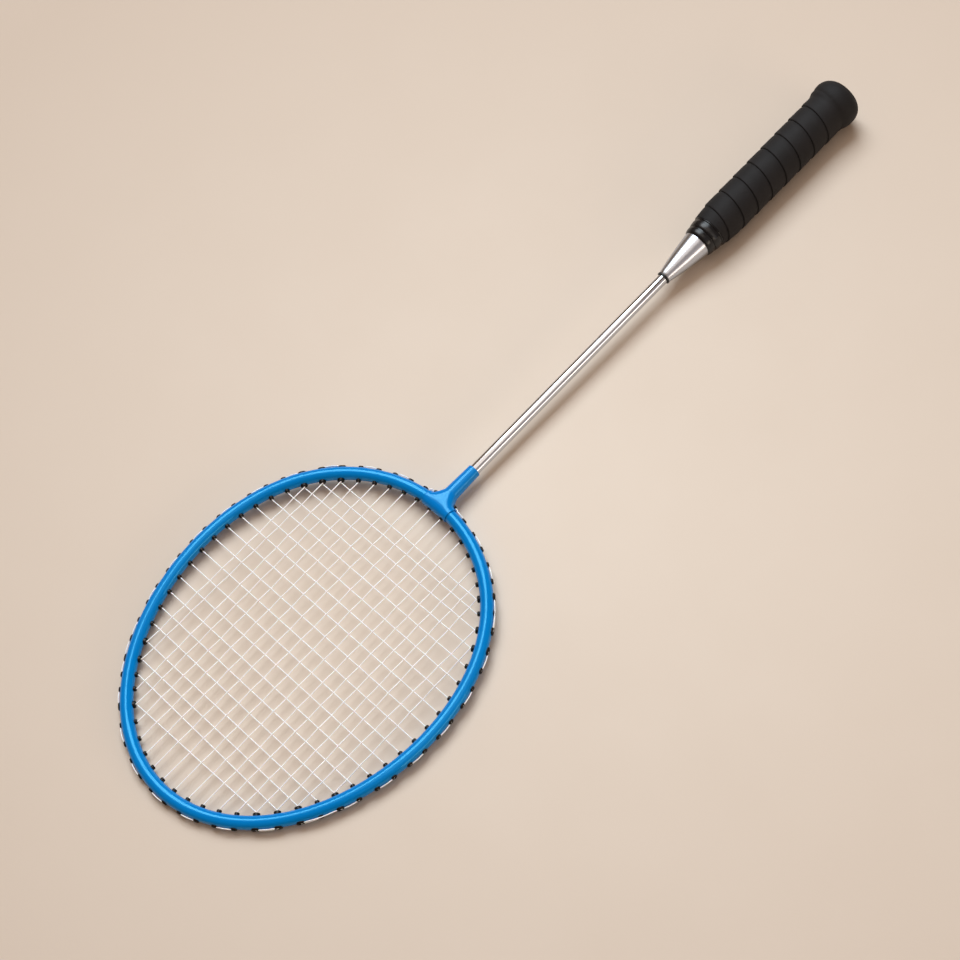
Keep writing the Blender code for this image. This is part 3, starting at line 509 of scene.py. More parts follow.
# Chrome plate on steel: a cool mirror, with faint polishing lines along the tube.
chrome, chrome_shader, place = new_material("chrome_plate", {"Metallic": 1.0, "Roughness": 0.09})
along_tube = add_node(
    chrome, "ShaderNodeMapping", {"Vector": place, "Scale": (1, POLISH_STRETCH, 1)}
)
lines = add_node(
    chrome, "ShaderNodeTexNoise", {"Vector": along_tube, "Scale": 1 / POLISH_LINE, "Detail": 2}
)
lay_grain(chrome, chrome_shader, lines, (CHROME, CHROME_SHADE), strength=0.04, depth=0.0001)

inner = SHAFT_RADIUS - SHAFT_WALL
profile = [
    (SHAFT_RADIUS, SHAFT_TOP),
    (SHAFT_RADIUS, SHAFT_FOOT),
    (inner, SHAFT_FOOT),
    (inner, SHAFT_TOP),
]
shaft = add_piece("shaft_tube", turned(profile, TURN_STEPS, RIM_BEVEL), chrome)
shaft.data.set_sharp_from_angle(angle=SHARP_ANGLE)
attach(shaft, "root")
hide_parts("shaft")


# Cone ring
# A thin black ring of moulded rubber, pushed down the shaft to close the mouth of the cone.

RING_RADIUS = 0.0045
RING_BORE = 0.00365
RING_START = 0.1729
RING_LENGTH = 0.0011
RING_ROUNDING = 0.0002
RUBBER_BLACK = "#0E0E10"
RUBBER_GREY = "#18181B"
RUBBER_GRAIN = 0.0005  # the real grain is finer, and would not show

# Moulded rubber: nearly black and dull, with a fine grain.
rubber, rubber_shader, place = new_material("moulded_rubber", {"Roughness": 0.5, "IOR": 1.52})
grain = add_node(
    rubber, "ShaderNodeTexNoise", {"Vector": place, "Scale": 1 / RUBBER_GRAIN, "Detail": 3}
)
lay_grain(rubber, rubber_shader, grain, (RUBBER_BLACK, RUBBER_GREY), strength=0.2, depth=0.0001)

profile = [
    (RING_RADIUS, RING_START + RING_LENGTH),
    (RING_RADIUS, RING_START),
    (RING_BORE, RING_START),
    (RING_BORE, RING_START + RING_LENGTH),
]
ring = add_piece("ring_moulding", turned(profile, TURN_STEPS, RING_ROUNDING), rubber)
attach(ring, "root")
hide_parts("cone_ring")


# Cone
# An aluminium cone, spun from sheet and polished on the lathe. Its narrow end grips the shaft and
# its wide end sits on the top of the handle.

CONE_START = 0.1419
CONE_LENGTH = 0.0310
CONE_NARROW_RADIUS = 0.00425
CONE_WIDE_RADIUS = 0.00935
CONE_BULGE = 0.00035
CONE_SHEET = 0.0010
CONE_COLLAR = 0.0080
CONE_BANDS = 16
CONE_RIM = 0.00015
ALUMINIUM = "#C6CBD4"
ALUMINIUM_SHADE = "#AFB4BD"
LATHE_LINE = 0.0003  # the real lines are finer, and would not show


def cone_radius(y):
    """The cone's outer radius: nearly straight, a little full in the middle."""
    share = (y - CONE_START) / CONE_LENGTH
    straight = CONE_WIDE_RADIUS + (CONE_NARROW_RADIUS - CONE_WIDE_RADIUS) * share
    return straight + CONE_BULGE * math.sin(math.pi * share)


# Polished aluminium: a greyer and softer mirror than the chrome, with fine lines round the cone.
aluminium, aluminium_shader, place = new_material(
    "spun_aluminium", {"Metallic": 1.0, "Roughness": 0.29}
)
round_cone = add_node(
    aluminium, "ShaderNodeMapping", {"Vector": place, "Scale": (LATHE_LINE, 1, LATHE_LINE)}
)
lines = add_node(
    aluminium, "ShaderNodeTexNoise", {"Vector": round_cone, "Scale": 1 / LATHE_LINE, "Detail": 3}
)
lay_grain(
    aluminium, aluminium_shader, lines, (ALUMINIUM, ALUMINIUM_SHADE), strength=0.1, depth=0.00005
)

rise = CONE_LENGTH / CONE_BANDS
outside = [CONE_START + CONE_LENGTH - rise * k for k in range(CONE_BANDS + 1)]
collar = CONE_START + CONE_LENGTH - CONE_COLLAR
profile = [(cone_radius(y), y) for y in outside]
profile.append((CONE_WIDE_RADIUS - CONE_SHEET, CONE_START))
profile.append((cone_radius(collar) - CONE_SHEET, collar))
profile.append((RING_BORE, collar))
profile.append((RING_BORE, CONE_START + CONE_LENGTH))
cone = add_piece("spun_cone", turned(profile, TURN_STEPS, CONE_RIM), aluminium)
cone.data.set_sharp_from_angle(angle=SHARP_ANGLE)
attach(cone, "root")
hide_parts("cone_cap")


# Handle core
# A beech handle, turned on the lathe and bored for the shaft. The wrap, the tape and the cap cover
# all of it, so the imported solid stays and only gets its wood.

BEECH = "#C49E6C"
BEECH_DARK = "#A97F4E"
GRAIN_WIDTH = 0.0018
GRAIN_STRETCH = 0.06  # the grain runs along the handle

# Turned beech: pale brown, with straight grain along the handle and a dull raw surface.
beech, beech_shader, place = new_material("turned_beech", {"Roughness": 0.65, "IOR": 1.5})
along_handle = add_node(
    beech, "ShaderNodeMapping", {"Vector": place, "Scale": (1, GRAIN_STRETCH, 1)}
)
grain = add_node(
    beech, "ShaderNodeTexNoise", {"Vector": along_handle, "Scale": 1 / GRAIN_WIDTH, "Detail": 4}
)
lay_grain(beech, beech_shader, grain, (BEECH, BEECH_DARK), strength=0.2, depth=0.0002)
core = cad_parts["handle_core"]
core.data.materials.clear()
core.data.materials.append(beech)


# Grip wrap
# One soft band of foamed polyurethane leather, wound from the cone's end to the butt. Each turn
# laps over the one nearer the head, so its own edge there stands proud with a crease below it. Over
# the flare at the butt the last edge is pulled into a soft fold.

GRIP_LENGTH = 0.1300
GRIP_BODY_RADIUS = 0.01365
GRIP_NECK_RADIUS = 0.01415
GRIP_TOP_RADIUS = 0.01215
GRIP_RISE = 0.0120
NECK_PLACE = 0.0185
BUTT_RADIUS = 0.01615
BUTT_CORNER = 0.0085
BUTT_ROUNDING = 0.0075
FOLD_START = 0.0175  # from here down the band's edge is pulled into a soft fold
FOLD_END = 0.0205
FOLD_DEPTH = 0.0005
FOLD_WIDTH = 0.0014
FOLD_SIDE = math.radians(45)  # where the fold is deepest, round the handle from +X
WRAP_THICKNESS = 0.0016
WRAP_PITCH = 0.01345
BAND_WIDTH = 0.01344  # a little less than the pitch, so that no two turns share an edge
WRAP_PLACE = 0.0114  # where an edge of the band crosses the +X side
WRAP_FOOT = 0.0021
TURN_COUNT = 12
# Height of the band's surface over the wound radius, by its distance from the proud edge
BAND_SURFACE = (
    (0.00000, -0.00065),
    (0.00002, -0.00014),
    (0.00018, 0.00012),
    (0.00055, 0.00020),
    (0.00140, 0.00018),
    (0.00280, 0.00010),
    (0.00420, 0.00006),
    (0.00560, 0.00004),
    (0.00700, 0.00002),
    (0.00840, 0.00000),
    (0.00980, -0.00004),
    (0.01100, -0.00014),
    (0.01210, -0.00031),
    (0.01290, -0.00051),
    (BAND_WIDTH, -0.00065),
)
LEATHER_BLACK = "#0F0E0F"
LEATHER_GREY = "#1E1B1C"
LEATHER_PEBBLE = 0.0009
LEATHER_PATCH = 0.012
BAND_SHARP_ANGLE = math.radians(70)


def grip_radius(y):
    """The outside of the wrapped handle: rounded butt, flare, body and tapered top."""
    rise_start = GRIP_LENGTH - GRIP_RISE
    if y < BUTT_CORNER:
        below = 1 - max(y, 0) / BUTT_CORNER
        return BUTT_RADIUS - BUTT_ROUNDING * (1 - math.sqrt(1 - below**2))
    if y < NECK_PLACE:
        share = ((y - BUTT_CORNER) / (NECK_PLACE - BUTT_CORNER)) ** 2
        swell = (1 + math.cos(math.pi * share)) / 2
        return GRIP_NECK_RADIUS + (BUTT_RADIUS - GRIP_NECK_RADIUS) * swell
    if y < rise_start:
        share = (y - NECK_PLACE) / (rise_start - NECK_PLACE)
        return GRIP_NECK_RADIUS + (GRIP_BODY_RADIUS - GRIP_NECK_RADIUS) * share
    share = min((y - rise_start) / GRIP_RISE, 1)
    return GRIP_BODY_RADIUS + (GRIP_TOP_RADIUS - GRIP_BODY_RADIUS) * share


def eased_share(share):
    """A share that starts and ends without a kink."""
    share = min(max(share, 0), 1)
    return share * share * (3 - 2 * share)


def fold_height(co):
    """The band's surface in the fold over the flare, against the wound radius."""
    turn = math.atan2(co.z, co.x)
    past = co.y - WRAP_PLACE - WRAP_PITCH * turn / (2 * math.pi)
    gap = (past + WRAP_PITCH / 2) % WRAP_PITCH - WRAP_PITCH / 2
    share = ((1 + math.cos(turn - FOLD_SIDE)) / 2) ** 2
    return -FOLD_DEPTH * share * math.exp(-((gap / FOLD_WIDTH) ** 2))


# Foamed polyurethane leather: black with a grey bloom, soft and nearly without gloss, pebbled.
leather, leather_shader, place = new_material(
    "foamed_leather", {"Roughness": 0.7, "IOR": 1.5, "Specular IOR Level": 0.27}
)
bloom = add_node(
    leather, "ShaderNodeTexNoise", {"Vector": place, "Scale": 1 / LEATHER_PATCH, "Detail": 4}
)
tint = add_node(
    leather,
    "ShaderNodeMix",
    {"Factor": bloom, MIX_FIRST: linear(LEATHER_BLACK), MIX_SECOND: linear(LEATHER_GREY)},
    data_type="RGBA",
)
pebble = add_node(
    leather, "ShaderNodeTexVoronoi", {"Vector": place, "Scale": 1 / LEATHER_PEBBLE}
)
soft_relief = add_node(
    leather, "ShaderNodeBump", {"Height": bloom, "Strength": 0.35, "Distance": 0.0012}
)
relief = add_node(
    leather,
    "ShaderNodeBump",
    {"Height": pebble, "Strength": 0.35, "Distance": 0.00012, "Normal": soft_relief},
)
set_inputs(leather_shader, {"Base Color": tint, "Normal": relief})

shape = bmesh.new()
start = WRAP_PLACE - WRAP_PITCH
section = [(0, -WRAP_THICKNESS), *BAND_SURFACE, (BAND_WIDTH, -WRAP_THICKNESS)]
corners = [
    shape.verts.new((GRIP_BODY_RADIUS + height, start - back, 0)) for back, height in section
]
for corner, after in zip(corners, corners[1:] + corners[:1]):
    shape.edges.new((corner, after))
bmesh.ops.spin(
    shape,
    geom=shape.verts[:] + shape.edges[:],
    cent=(0, 0, 0),
    axis=(0, -1, 0),
    dvec=(0, WRAP_PITCH / TURN_STEPS, 0),
    angle=2 * math.pi * TURN_COUNT,
    steps=TURN_STEPS * TURN_COUNT,
)
for height, outer in ((WRAP_FOOT, False), (GRIP_LENGTH, True)):
    bmesh.ops.bisect_plane(
        shape,
        geom=shape.verts[:] + shape.edges[:] + shape.faces[:],
        plane_co=(0, height, 0),
        plane_no=(0, 1, 0),
        clear_outer=outer,
        clear_inner=not outer,
    )
bmesh.ops.holes_fill(shape, edges=[edge for edge in shape.edges if edge.is_boundary])
for vert in shape.verts:
    wound = math.hypot(vert.co.x, vert.co.z)
    height = wound - GRIP_BODY_RADIUS
    if height > -WRAP_THICKNESS / 2:
        soft = eased_share((FOLD_END - vert.co.y) / (FOLD_END - FOLD_START))
        height += (fold_height(vert.co) - height) * soft
    wanted = grip_radius(vert.co.y) + height
    vert.co.x *= wanted / wound
    vert.co.z *= wanted / wound
band = add_piece("wound_band", shape, leather)
band.data.set_sharp_from_angle(angle=BAND_SHARP_ANGLE)
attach(band, "root")
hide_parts("grip_wrap")


# Butt cap
# A soft PVC cap with a shallow dish in its end, pressed into the bored foot of the handle. The
# band ends on its rim.

CAP_THICKNESS = 0.0020
DISH_RADIUS = 0.0080
DISH_DEPTH = 0.0006
DISH_SLOPE = 0.0008
CAP_SPIGOT_RADIUS = 0.0040
CAP_SPIGOT_TOP = 0.0130
CAP_STEPS = 6
CAP_BLACK = "#181615"
CAP_GREY = "#1E1C1B"
CAP_GRAIN = 0.0004  # the real grain is finer, and would not show

# Soft PVC: the wrap's black with a fine matt spark texture from the mould.
soft_pvc, soft_pvc_shader, place = new_material(
    "soft_pvc", {"Roughness": 0.65, "IOR": 1.54, "Specular IOR Level": 0.35}
)
grain = add_node(
    soft_pvc, "ShaderNodeTexNoise", {"Vector": place, "Scale": 1 / CAP_GRAIN, "Detail": 3}
)
lay_grain(soft_pvc, soft_pvc_shader, grain, (CAP_BLACK, CAP_GREY), strength=0.3, depth=0.0001)

rim = [CAP_THICKNESS * (k / CAP_STEPS) ** 2 for k in range(CAP_STEPS + 1)]
profile = [(0, DISH_DEPTH), (DISH_RADIUS - DISH_SLOPE, DISH_DEPTH), (DISH_RADIUS, 0)]
profile += [(grip_radius(y), y) for y in rim]
profile += [(CAP_SPIGOT_RADIUS, CAP_THICKNESS), (CAP_SPIGOT_RADIUS, CAP_SPIGOT_TOP)]
profile.append((0, CAP_SPIGOT_TOP))
cap = add_piece("moulded_cap", turned(profile, TURN_STEPS), soft_pvc)
cap.data.set_sharp_from_angle(angle=SHARP_ANGLE)
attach(cap, "root")
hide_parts("butt_cap")


# Finishing tape
# Glossy black PVC tape, pulled round the top of the grip and the foot of the cone in three lapped
# turns. Its cut end has come a little loose and stands up.

TAPE_LENGTH = 0.0119
TAPE_THICKNESS = 0.0008
# Distance from the grip's top edge and radius, down the three crowned turns from the cone
TAPE_SURFACE = (
    (0.0119, 0.00968),
    (0.0114, 0.01008),
    (0.0108, 0.01036),
    (0.0100, 0.01058),
    (0.0092, 0.01070),
    (0.0087, 0.01073),
    (0.0083, 0.01073),
    (0.0078, 0.01069),
    (0.0066, 0.01048),
    (0.0065, 0.01090),
    (0.0062, 0.01112),
    (0.0050, 0.01136),
    (0.0040, 0.01154),
    (0.0034, 0.01160),
    (0.0028, 0.01160),
    (0.0022, 0.01153),
    (0.0010, 0.01130),
    (0.0009, 0.01172),
    (0.0006, 0.01190),
    (0.0004, 0.01193),
    (0.0002, 0.01191),
    (0.0000, 0.01184),
)
TAPE_EDGE = 0.00004
LOOSE_FOOT = 0.0011
LOOSE_WIDTH = 0.0043
LOOSE_START = math.radians(20)
LOOSE_END = math.radians(53)
LOOSE_LIFT = 0.0032
LOOSE_MIDDLE = 0.55  # share of the lift in the middle of the tape's width
LOOSE_SLANT = 0.3  # how much more its edge toward the cone lifts than the other one
LOOSE_STEPS = 14
LOOSE_BANDS = 4
FOIL_THICKNESS = 0.00013
TAPE_BLACK = "#0E0E10"
TAPE_GREY = "#161619"
TAPE_RIPPLE = 0.0035


def tape_radius(y):
    """The outside of the tape at this place."""
    for (high, outer), (low, inner) in zip(TAPE_SURFACE, TAPE_SURFACE[1:]):
        if y >= GRIP_LENGTH + low:
            share = (y - GRIP_LENGTH - low) / (high - low)
            return inner + (outer - inner) * share
    return inner


# PVC tape: black, wet-looking gloss, and slow ripples where it was stretched over the cone.
pvc_tape, pvc_tape_shader, place = new_material(
    "pvc_tape", {"Roughness": 0.27, "IOR": 1.54, "Specular IOR Level": 0.3}
)
ripple = add_node(
    pvc_tape, "ShaderNodeTexNoise", {"Vector": place, "Scale": 1 / TAPE_RIPPLE, "Detail": 2}
)
lay_grain(pvc_tape, pvc_tape_shader, ripple, (TAPE_BLACK, TAPE_GREY), strength=0.25, depth=0.0003)

profile = [(radius, GRIP_LENGTH + place) for place, radius in TAPE_SURFACE]
profile.append((GRIP_TOP_RADIUS - 2 * TAPE_THICKNESS, GRIP_LENGTH))
profile.append((CONE_WIDE_RADIUS - TAPE_THICKNESS, GRIP_LENGTH + TAPE_LENGTH))
shape = turned(profile, TURN_STEPS, TAPE_EDGE)
grid = bmesh.ops.create_grid(shape, x_segments=LOOSE_STEPS, y_segments=LOOSE_BANDS, size=0.5)
loose = grid["verts"]
for vert in loose:
    share = vert.co.x + 0.5
    y = GRIP_LENGTH + LOOSE_FOOT + LOOSE_WIDTH * (vert.co.y + 0.5)
    angle = LOOSE_START + (LOOSE_END - LOOSE_START) * share
    lifted = LOOSE_LIFT * share**3 * (LOOSE_MIDDLE + LOOSE_SLANT * vert.co.y)
    radius = tape_radius(y) + FOIL_THICKNESS + lifted
    vert.co = (-radius * math.sin(angle), y, radius * math.cos(angle))
foil = dict.fromkeys(face for vert in loose for face in vert.link_faces)
bmesh.ops.solidify(shape, geom=list(foil), thickness=FOIL_THICKNESS)
tape = add_piece("lapped_tape", shape, pvc_tape)
tape.data.set_sharp_from_angle(angle=SHARP_ANGLE)
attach(tape, "root")
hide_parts("finishing_tape")


# Eyelets
# Black nylon eyelets, pushed through the tube from outside. An oval domed flange lies on the tube,
# the barrel ends inside the head, and a wider one takes two strings where a main and a cross meet.

MAIN_COUNT = 18
MAIN_MIDDLE_GAP = 0.1052 * HEAD_HALF_WIDTH
MAIN_OUTER_GAP = 0.0880 * HEAD_HALF_WIDTH
MAIN_NARROWING_GAPS = 5
MAIN_OFFSET = -0.0018
CROSS_COUNT = 19
CROSS_FIRST = 0.1186 * HEAD_LENGTH
CROSS_FIRST_GAP = 0.0300 * HEAD_LENGTH
CROSS_OUTER_GAP = 0.03947 * HEAD_LENGTH
CROSS_MIDDLE_EXTRA = 0.0055 * HEAD_LENGTH
SHARE_REACH = 0.0300 * (HEAD_LENGTH / 2 + HEAD_HALF_WIDTH)
STRING_RADIUS = 0.00035
BARREL_RADIUS = 0.00155
BARREL_BORE = 0.0008
BARREL_INSIDE = 0.0016
WIDE_BARREL = 0.0018
WIDE_STRETCH = 1.25
THROAT_BARREL = 0.0013
THROAT_EXIT = 0.0080
FLANGE_HEIGHT = 0.0010
FLANGE_WIDTH = 0.0004
FLANGE_SQUASH = 0.35  # share of the flange's width that is left across the tube
DOME_STEPS = 4
MOUTH_ROUNDING = 0.0006
EVENING_ROUNDS = 2
HALVINGS = 50  # rounds of narrowing down an angle
EYELET_STEPS = 20
EYELET_EDGE = 0.00015
EYELET_SHARP_ANGLE = math.radians(60)
LAYOUT_INSIDE = 0.0014  # how far the barrels reach inside in the layout of the holes
MOUTH_DEPTH = TUBE_RADIUS + LAYOUT_INSIDE + STRING_RADIUS  # centre line to a string's bend
NYLON_BLACK = "#080708"
NYLON_GREY = "#100F10"
NYLON_GRAIN = 0.0006  # the real grain is finer, and would not show


@dataclass
class Hole:
    """A string hole; its distances run from the tube's centre line."""

    angle: float  # where the string leaves the hole, round the head
    centre: Vector
    outward: Vector
    inside: float = TUBE_RADIUS + BARREL_INSIDE
    outside: float = TUBE_RADIUS + FLANGE_HEIGHT
    barrel: float = BARREL_RADIUS
    on_tube: bool = True  # all but the two through the T joint
    shared: bool = False


def mouth_point(angle):
    """Where a string leaves its eyelet inside the head."""
    return head_point(angle) - head_outward(angle) * MOUTH_DEPTH


def angle_where(point, axis, value, low, high):
    """The angle between low and high at which this point of the oval has this coordinate."""
    rising = point(high)[axis] > point(low)[axis]
    for _ in range(HALVINGS):
        middle = (low + high) / 2
        if (point(middle)[axis] < value) == rising:
            low = middle
        else:
            high = middle
    return (low + high) / 2


def by_angle(hole):
    """Sorts holes round the head, from the throat."""
    return hole.angle


def throat_hole(across):
    """A slanted hole through the T joint and the tube end in it."""
    inner = Vector((across, THROAT_Y + SLEEVE_MIDDLE_RADIUS, 0))
    outer = Vector((math.copysign(THROAT_EXIT, across), THROAT_Y - SLEEVE_MIDDLE_RADIUS, 0))
    centre = (inner + outer) / 2
    reach = (outer - inner).length / 2 + FLANGE_HEIGHT
    angle = angle_where(head_point, 0, outer.x, -math.pi / 3, math.pi / 3)
    outward = (outer - inner).normalized()
    return Hole(angle, centre, outward, reach, reach, THROAT_BARREL, on_tube=False)


halves = [MAIN_MIDDLE_GAP / 2]
for k in range(1, MAIN_COUNT // 2):
    narrowing = min(k / MAIN_NARROWING_GAPS, 1)
    halves.append(halves[-1] + MAIN_MIDDLE_GAP + (MAIN_OUTER_GAP - MAIN_MIDDLE_GAP) * narrowing)
main_x = sorted((MAIN_OFFSET + sign * half for half in halves for sign in (1, -1)), reverse=True)

cross_y = [THROAT_Y + CROSS_FIRST, THROAT_Y + CROSS_FIRST + CROSS_FIRST_GAP]
regular = CROSS_COUNT - 2
for k in range(regular):
    swell = math.sin(math.pi * (k + 0.5) / regular)
    cross_y.append(cross_y[-1] + CROSS_OUTER_GAP + CROSS_MIDDLE_EXTRA * swell)
cross_y.reverse()

ends = {}
for number, y in enumerate(cross_y, 1):
    ends["cross", number, "plus"] = angle_where(mouth_point, 1, y, 0, math.pi)
    ends["cross", number, "minus"] = angle_where(mouth_point, 1, y, math.pi, 2 * math.pi)
holes = {}
shared = {}
for number, x in enumerate(main_x, 1):
    side = "plus" if x > 0 else "minus"
    crosses = {key: angle for key, angle in ends.items() if key[2] == side}
    for end, low in (("tip", math.pi / 2), ("throat", -math.pi / 2)):
        key = ("main", number, end)
        if end == "throat" and abs(x) < SLEEVE_HALF:
            holes[key] = throat_hole(x)
            continue
        angle = angle_where(mouth_point, 0, x, low, low + math.pi) % (2 * math.pi)
        here = head_point(angle)
        near = min(crosses, key=lambda cross: (head_point(crosses[cross]) - here).length)
        if (head_point(crosses[near]) - here).length < SHARE_REACH:
            shared[key] = near
            ends[near] = (angle + crosses[near]) / 2
        else:
            holes[key] = Hole(angle, head_point(angle), head_outward(angle))
for key, angle in ends.items():
    holes[key] = Hole(angle, head_point(angle), head_outward(angle))
for key, cross in shared.items():
    holes[key] = holes[cross]
    holes[cross].barrel = WIDE_BARREL
    holes[cross].shared = True

# The holes are drilled a little more evenly than the strings alone would ask.
each_once = {id(hole): hole for hole in holes.values() if hole.on_tube}
ring_holes = sorted(each_once.values(), key=by_angle)
for _ in range(EVENING_ROUNDS):
    middles = [(one.angle + other.angle) / 2 for one, other in zip(ring_holes, ring_holes[2:])]
    for hole, middle in zip(ring_holes[1:-1], middles):
        hole.angle += (middle - hole.angle) / 2
for hole in ring_holes:
    hole.centre = head_point(hole.angle)
    hole.outward = head_outward(hole.angle)


def spans(kind, count, side, first):
    """Pairs of holes that a string joins outside the head."""
    return [((kind, k, side), (kind, k + 1, side)) for k in range(first, count, 2)]


def eyelet(hole):
    """One turned eyelet in its hole: domed flange on the tube, rounded mouth inside the head."""
    bore = hole.barrel - BARREL_RADIUS + BARREL_BORE
    brim = hole.barrel + FLANGE_WIDTH
    profile = []
    for k in range(DOME_STEPS + 1):
        bow = math.pi / 2 * k / DOME_STEPS
        radius = hole.barrel - MOUTH_ROUNDING * (1 - math.sin(bow))
        profile.append((radius, -hole.inside + MOUTH_ROUNDING * (1 - math.cos(bow))))
    profile.reverse()
    profile += [(bore, -hole.inside), (bore, hole.outside)]
    for k in range(DOME_STEPS + 1):
        bow = math.pi / 2 * k / DOME_STEPS
        radius = bore + MOUTH_ROUNDING / 2 + (brim - bore - MOUTH_ROUNDING / 2) * math.sin(bow)
        profile.append((radius, hole.outside - FLANGE_HEIGHT * (1 - math.cos(bow))))
    profile.append((hole.barrel, hole.outside - FLANGE_HEIGHT))
    shape = turned(profile, EYELET_STEPS, EYELET_EDGE)
    for vert in shape.verts:
        x, y, z = vert.co
        if y > TUBE_RADIUS - EYELET_EDGE and abs(z) > hole.barrel:
            z = math.copysign(hole.barrel + (abs(z) - hole.barrel) * FLANGE_SQUASH, z)
        if y > TUBE_RADIUS - EYELET_EDGE and hole.on_tube:
            y -= TUBE_RADIUS - math.sqrt(TUBE_RADIUS**2 - z * z)
        if hole.shared:
            x *= WIDE_STRETCH
        vert.co = (x, y, z)
    upward = Vector((0, 0, 1))
    turn = Matrix((hole.outward.cross(upward), hole.outward, upward)).transposed().to_4x4()
    bmesh.ops.transform(shape, matrix=Matrix.Translation(hole.centre) @ turn, verts=shape.verts)
    return shape


# Moulded nylon: black, a dull satin gloss, and a grain that breaks up the highlight.
black_nylon, black_nylon_shader, place = new_material(
    "black_nylon", {"Roughness": 0.35, "IOR": 1.53, "Specular IOR Level": 0.2}
)
grain = add_node(
    black_nylon, "ShaderNodeTexNoise", {"Vector": place, "Scale": 1 / NYLON_GRAIN, "Detail": 2}
)
lay_grain(
    black_nylon, black_nylon_shader, grain, (NYLON_BLACK, NYLON_GREY), strength=0.15, depth=0.0001
)

pairs = spans("cross", CROSS_COUNT, "plus", 2) + spans("cross", CROSS_COUNT, "minus", 1)
pairs += spans("main", MAIN_COUNT, "tip", 1) + spans("main", MAIN_COUNT, "throat", 2)
groups = []
served = []
for pair in pairs:
    both = [holes[key] for key in pair]
    if all(hole.on_tube and not any(hole is other for other in served) for hole in both):
        served += both
        (string, low, side), (_, high, _) = pair
        groups.append((f"grommets_{string}_{low:02d}_{high:02d}_{side}", both))
for (string, number, side), hole in holes.items():
    if not any(hole is other for other in served):
        served.append(hole)
        groups.append((f"grommet_{string}_{number:02d}_{side}", [hole]))
for node, members in groups:
    shape = bmesh.new()
    for hole in members:
        one = eyelet(hole)
        mesh = bpy.data.meshes.new("eyelet")
        one.to_mesh(mesh)
        one.free()
        shape.from_mesh(mesh)
        bpy.data.meshes.remove(mesh)
    piece = add_piece(node.replace("grommet", "eyelet"), shape, black_nylon)
    piece.data.set_sharp_from_angle(angle=EYELET_SHARP_ANGLE)
    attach(piece, "root")
    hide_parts(node)


# Strings
# Two lengths of white nylon string, 0.7 mm thick. The first makes the 18 mains, the second is woven
# through it as the 19 crosses. Both run from hole to hole along the outside of the tube, and each
# of the four ends has a knot, pulled into its eyelet.

WAVE = 0.00038  # how far a string bends off the net's plane at each crossing
BORE_RISE = 0.00015
SHARED_RISE = 0.00052
SPAN_RISE = 0.0006  # how far the strings outside lie above the tube's middle
SPAN_APART = 0.0005  # how far a main lies above that, and a cross below it
SPAN_BOW = 0.0005  # how far they stand off the tube midway
SPAN_REST = 0.0040  # how far from its hole a string has come over to its place on the tube
SPAN_STEPS = 12
SLEEVE_STEP = 0.0012  # how far the string slants down from the sleeve's end to the tube
BEND_REACH = 0.0007
BEND_SHARES = (0, 0.33, 0.67, 1)
CLEAR_SHARE = 0.004  # strings that meet nearer than this to an end, by length, don't pass there
KNOT_RADIUS = 0.00045
KNOT_DEPTH = 0.0012  # below the tube's outer side
KNOT_STEPS = 24
NYLON_WHITE = "#FAFCFF"
NYLON_CREAM = "#F3F6FB"
STRAND_LENGTH = 0.004


def lift(hole, side):
    """How far a string is off the middle of its bore; side is 1 for a main, -1 for a cross."""
    return Vector((0, 0, side * (SHARED_RISE if hole.shared else BORE_RISE)))


def inner_point(hole, side):
    """The string's bend inside the head."""
    return hole.centre - hole.outward * (hole.inside + STRING_RADIUS) + lift(hole, side)


def outer_point(hole, side):
    """The string's bend outside the head, on the tube and under the flange's dome."""
    height = hole.outside - FLANGE_HEIGHT + STRING_RADIUS
    return hole.centre + hole.outward * height + lift(hole, side)


def knot_point(hole):
    """The middle of a knot, pulled into the eyelet's barrel."""
    return hole.centre + hole.outward * (TUBE_RADIUS - KNOT_DEPTH)


def meeting(main, cross):
    """Where the straight lines of this main and this cross meet, as shares of their lengths."""
    low, high = (inner_point(holes["main", main, end], 1).xy for end in ("throat", "tip"))
    plus, minus = (inner_point(holes["cross", cross, side], -1).xy for side in ("plus", "minus"))
    slant = (high - low).cross(minus - plus)
    return (plus - low).cross(minus - plus) / slant, (plus - low).cross(high - low) / slant


def passes(number):
    """The crosses that this main passes, from the throat to the tip."""
    own = [holes["main", number, end] for end in ("throat", "tip")]
    found = []
    for cross in range(CROSS_COUNT, 0, -1):
        others = [holes["cross", cross, side] for side in ("plus", "minus")]
        common = any(hole is other for hole in own for other in others)
        places = meeting(number, cross)
        if not common and all(CLEAR_SHARE < share < 1 - CLEAR_SHARE for share in places):
            found.append(cross)
    return found


def crossing(main, cross, side):
    """Where a string passes the other one."""
    over = 1 if (main + cross) % 2 else -1
    low, high = (inner_point(holes["main", main, end], 1) for end in ("throat", "tip"))
    place = low.lerp(high, meeting(main, cross)[0])
    return Vector((place.x, place.y, side * over * WAVE))


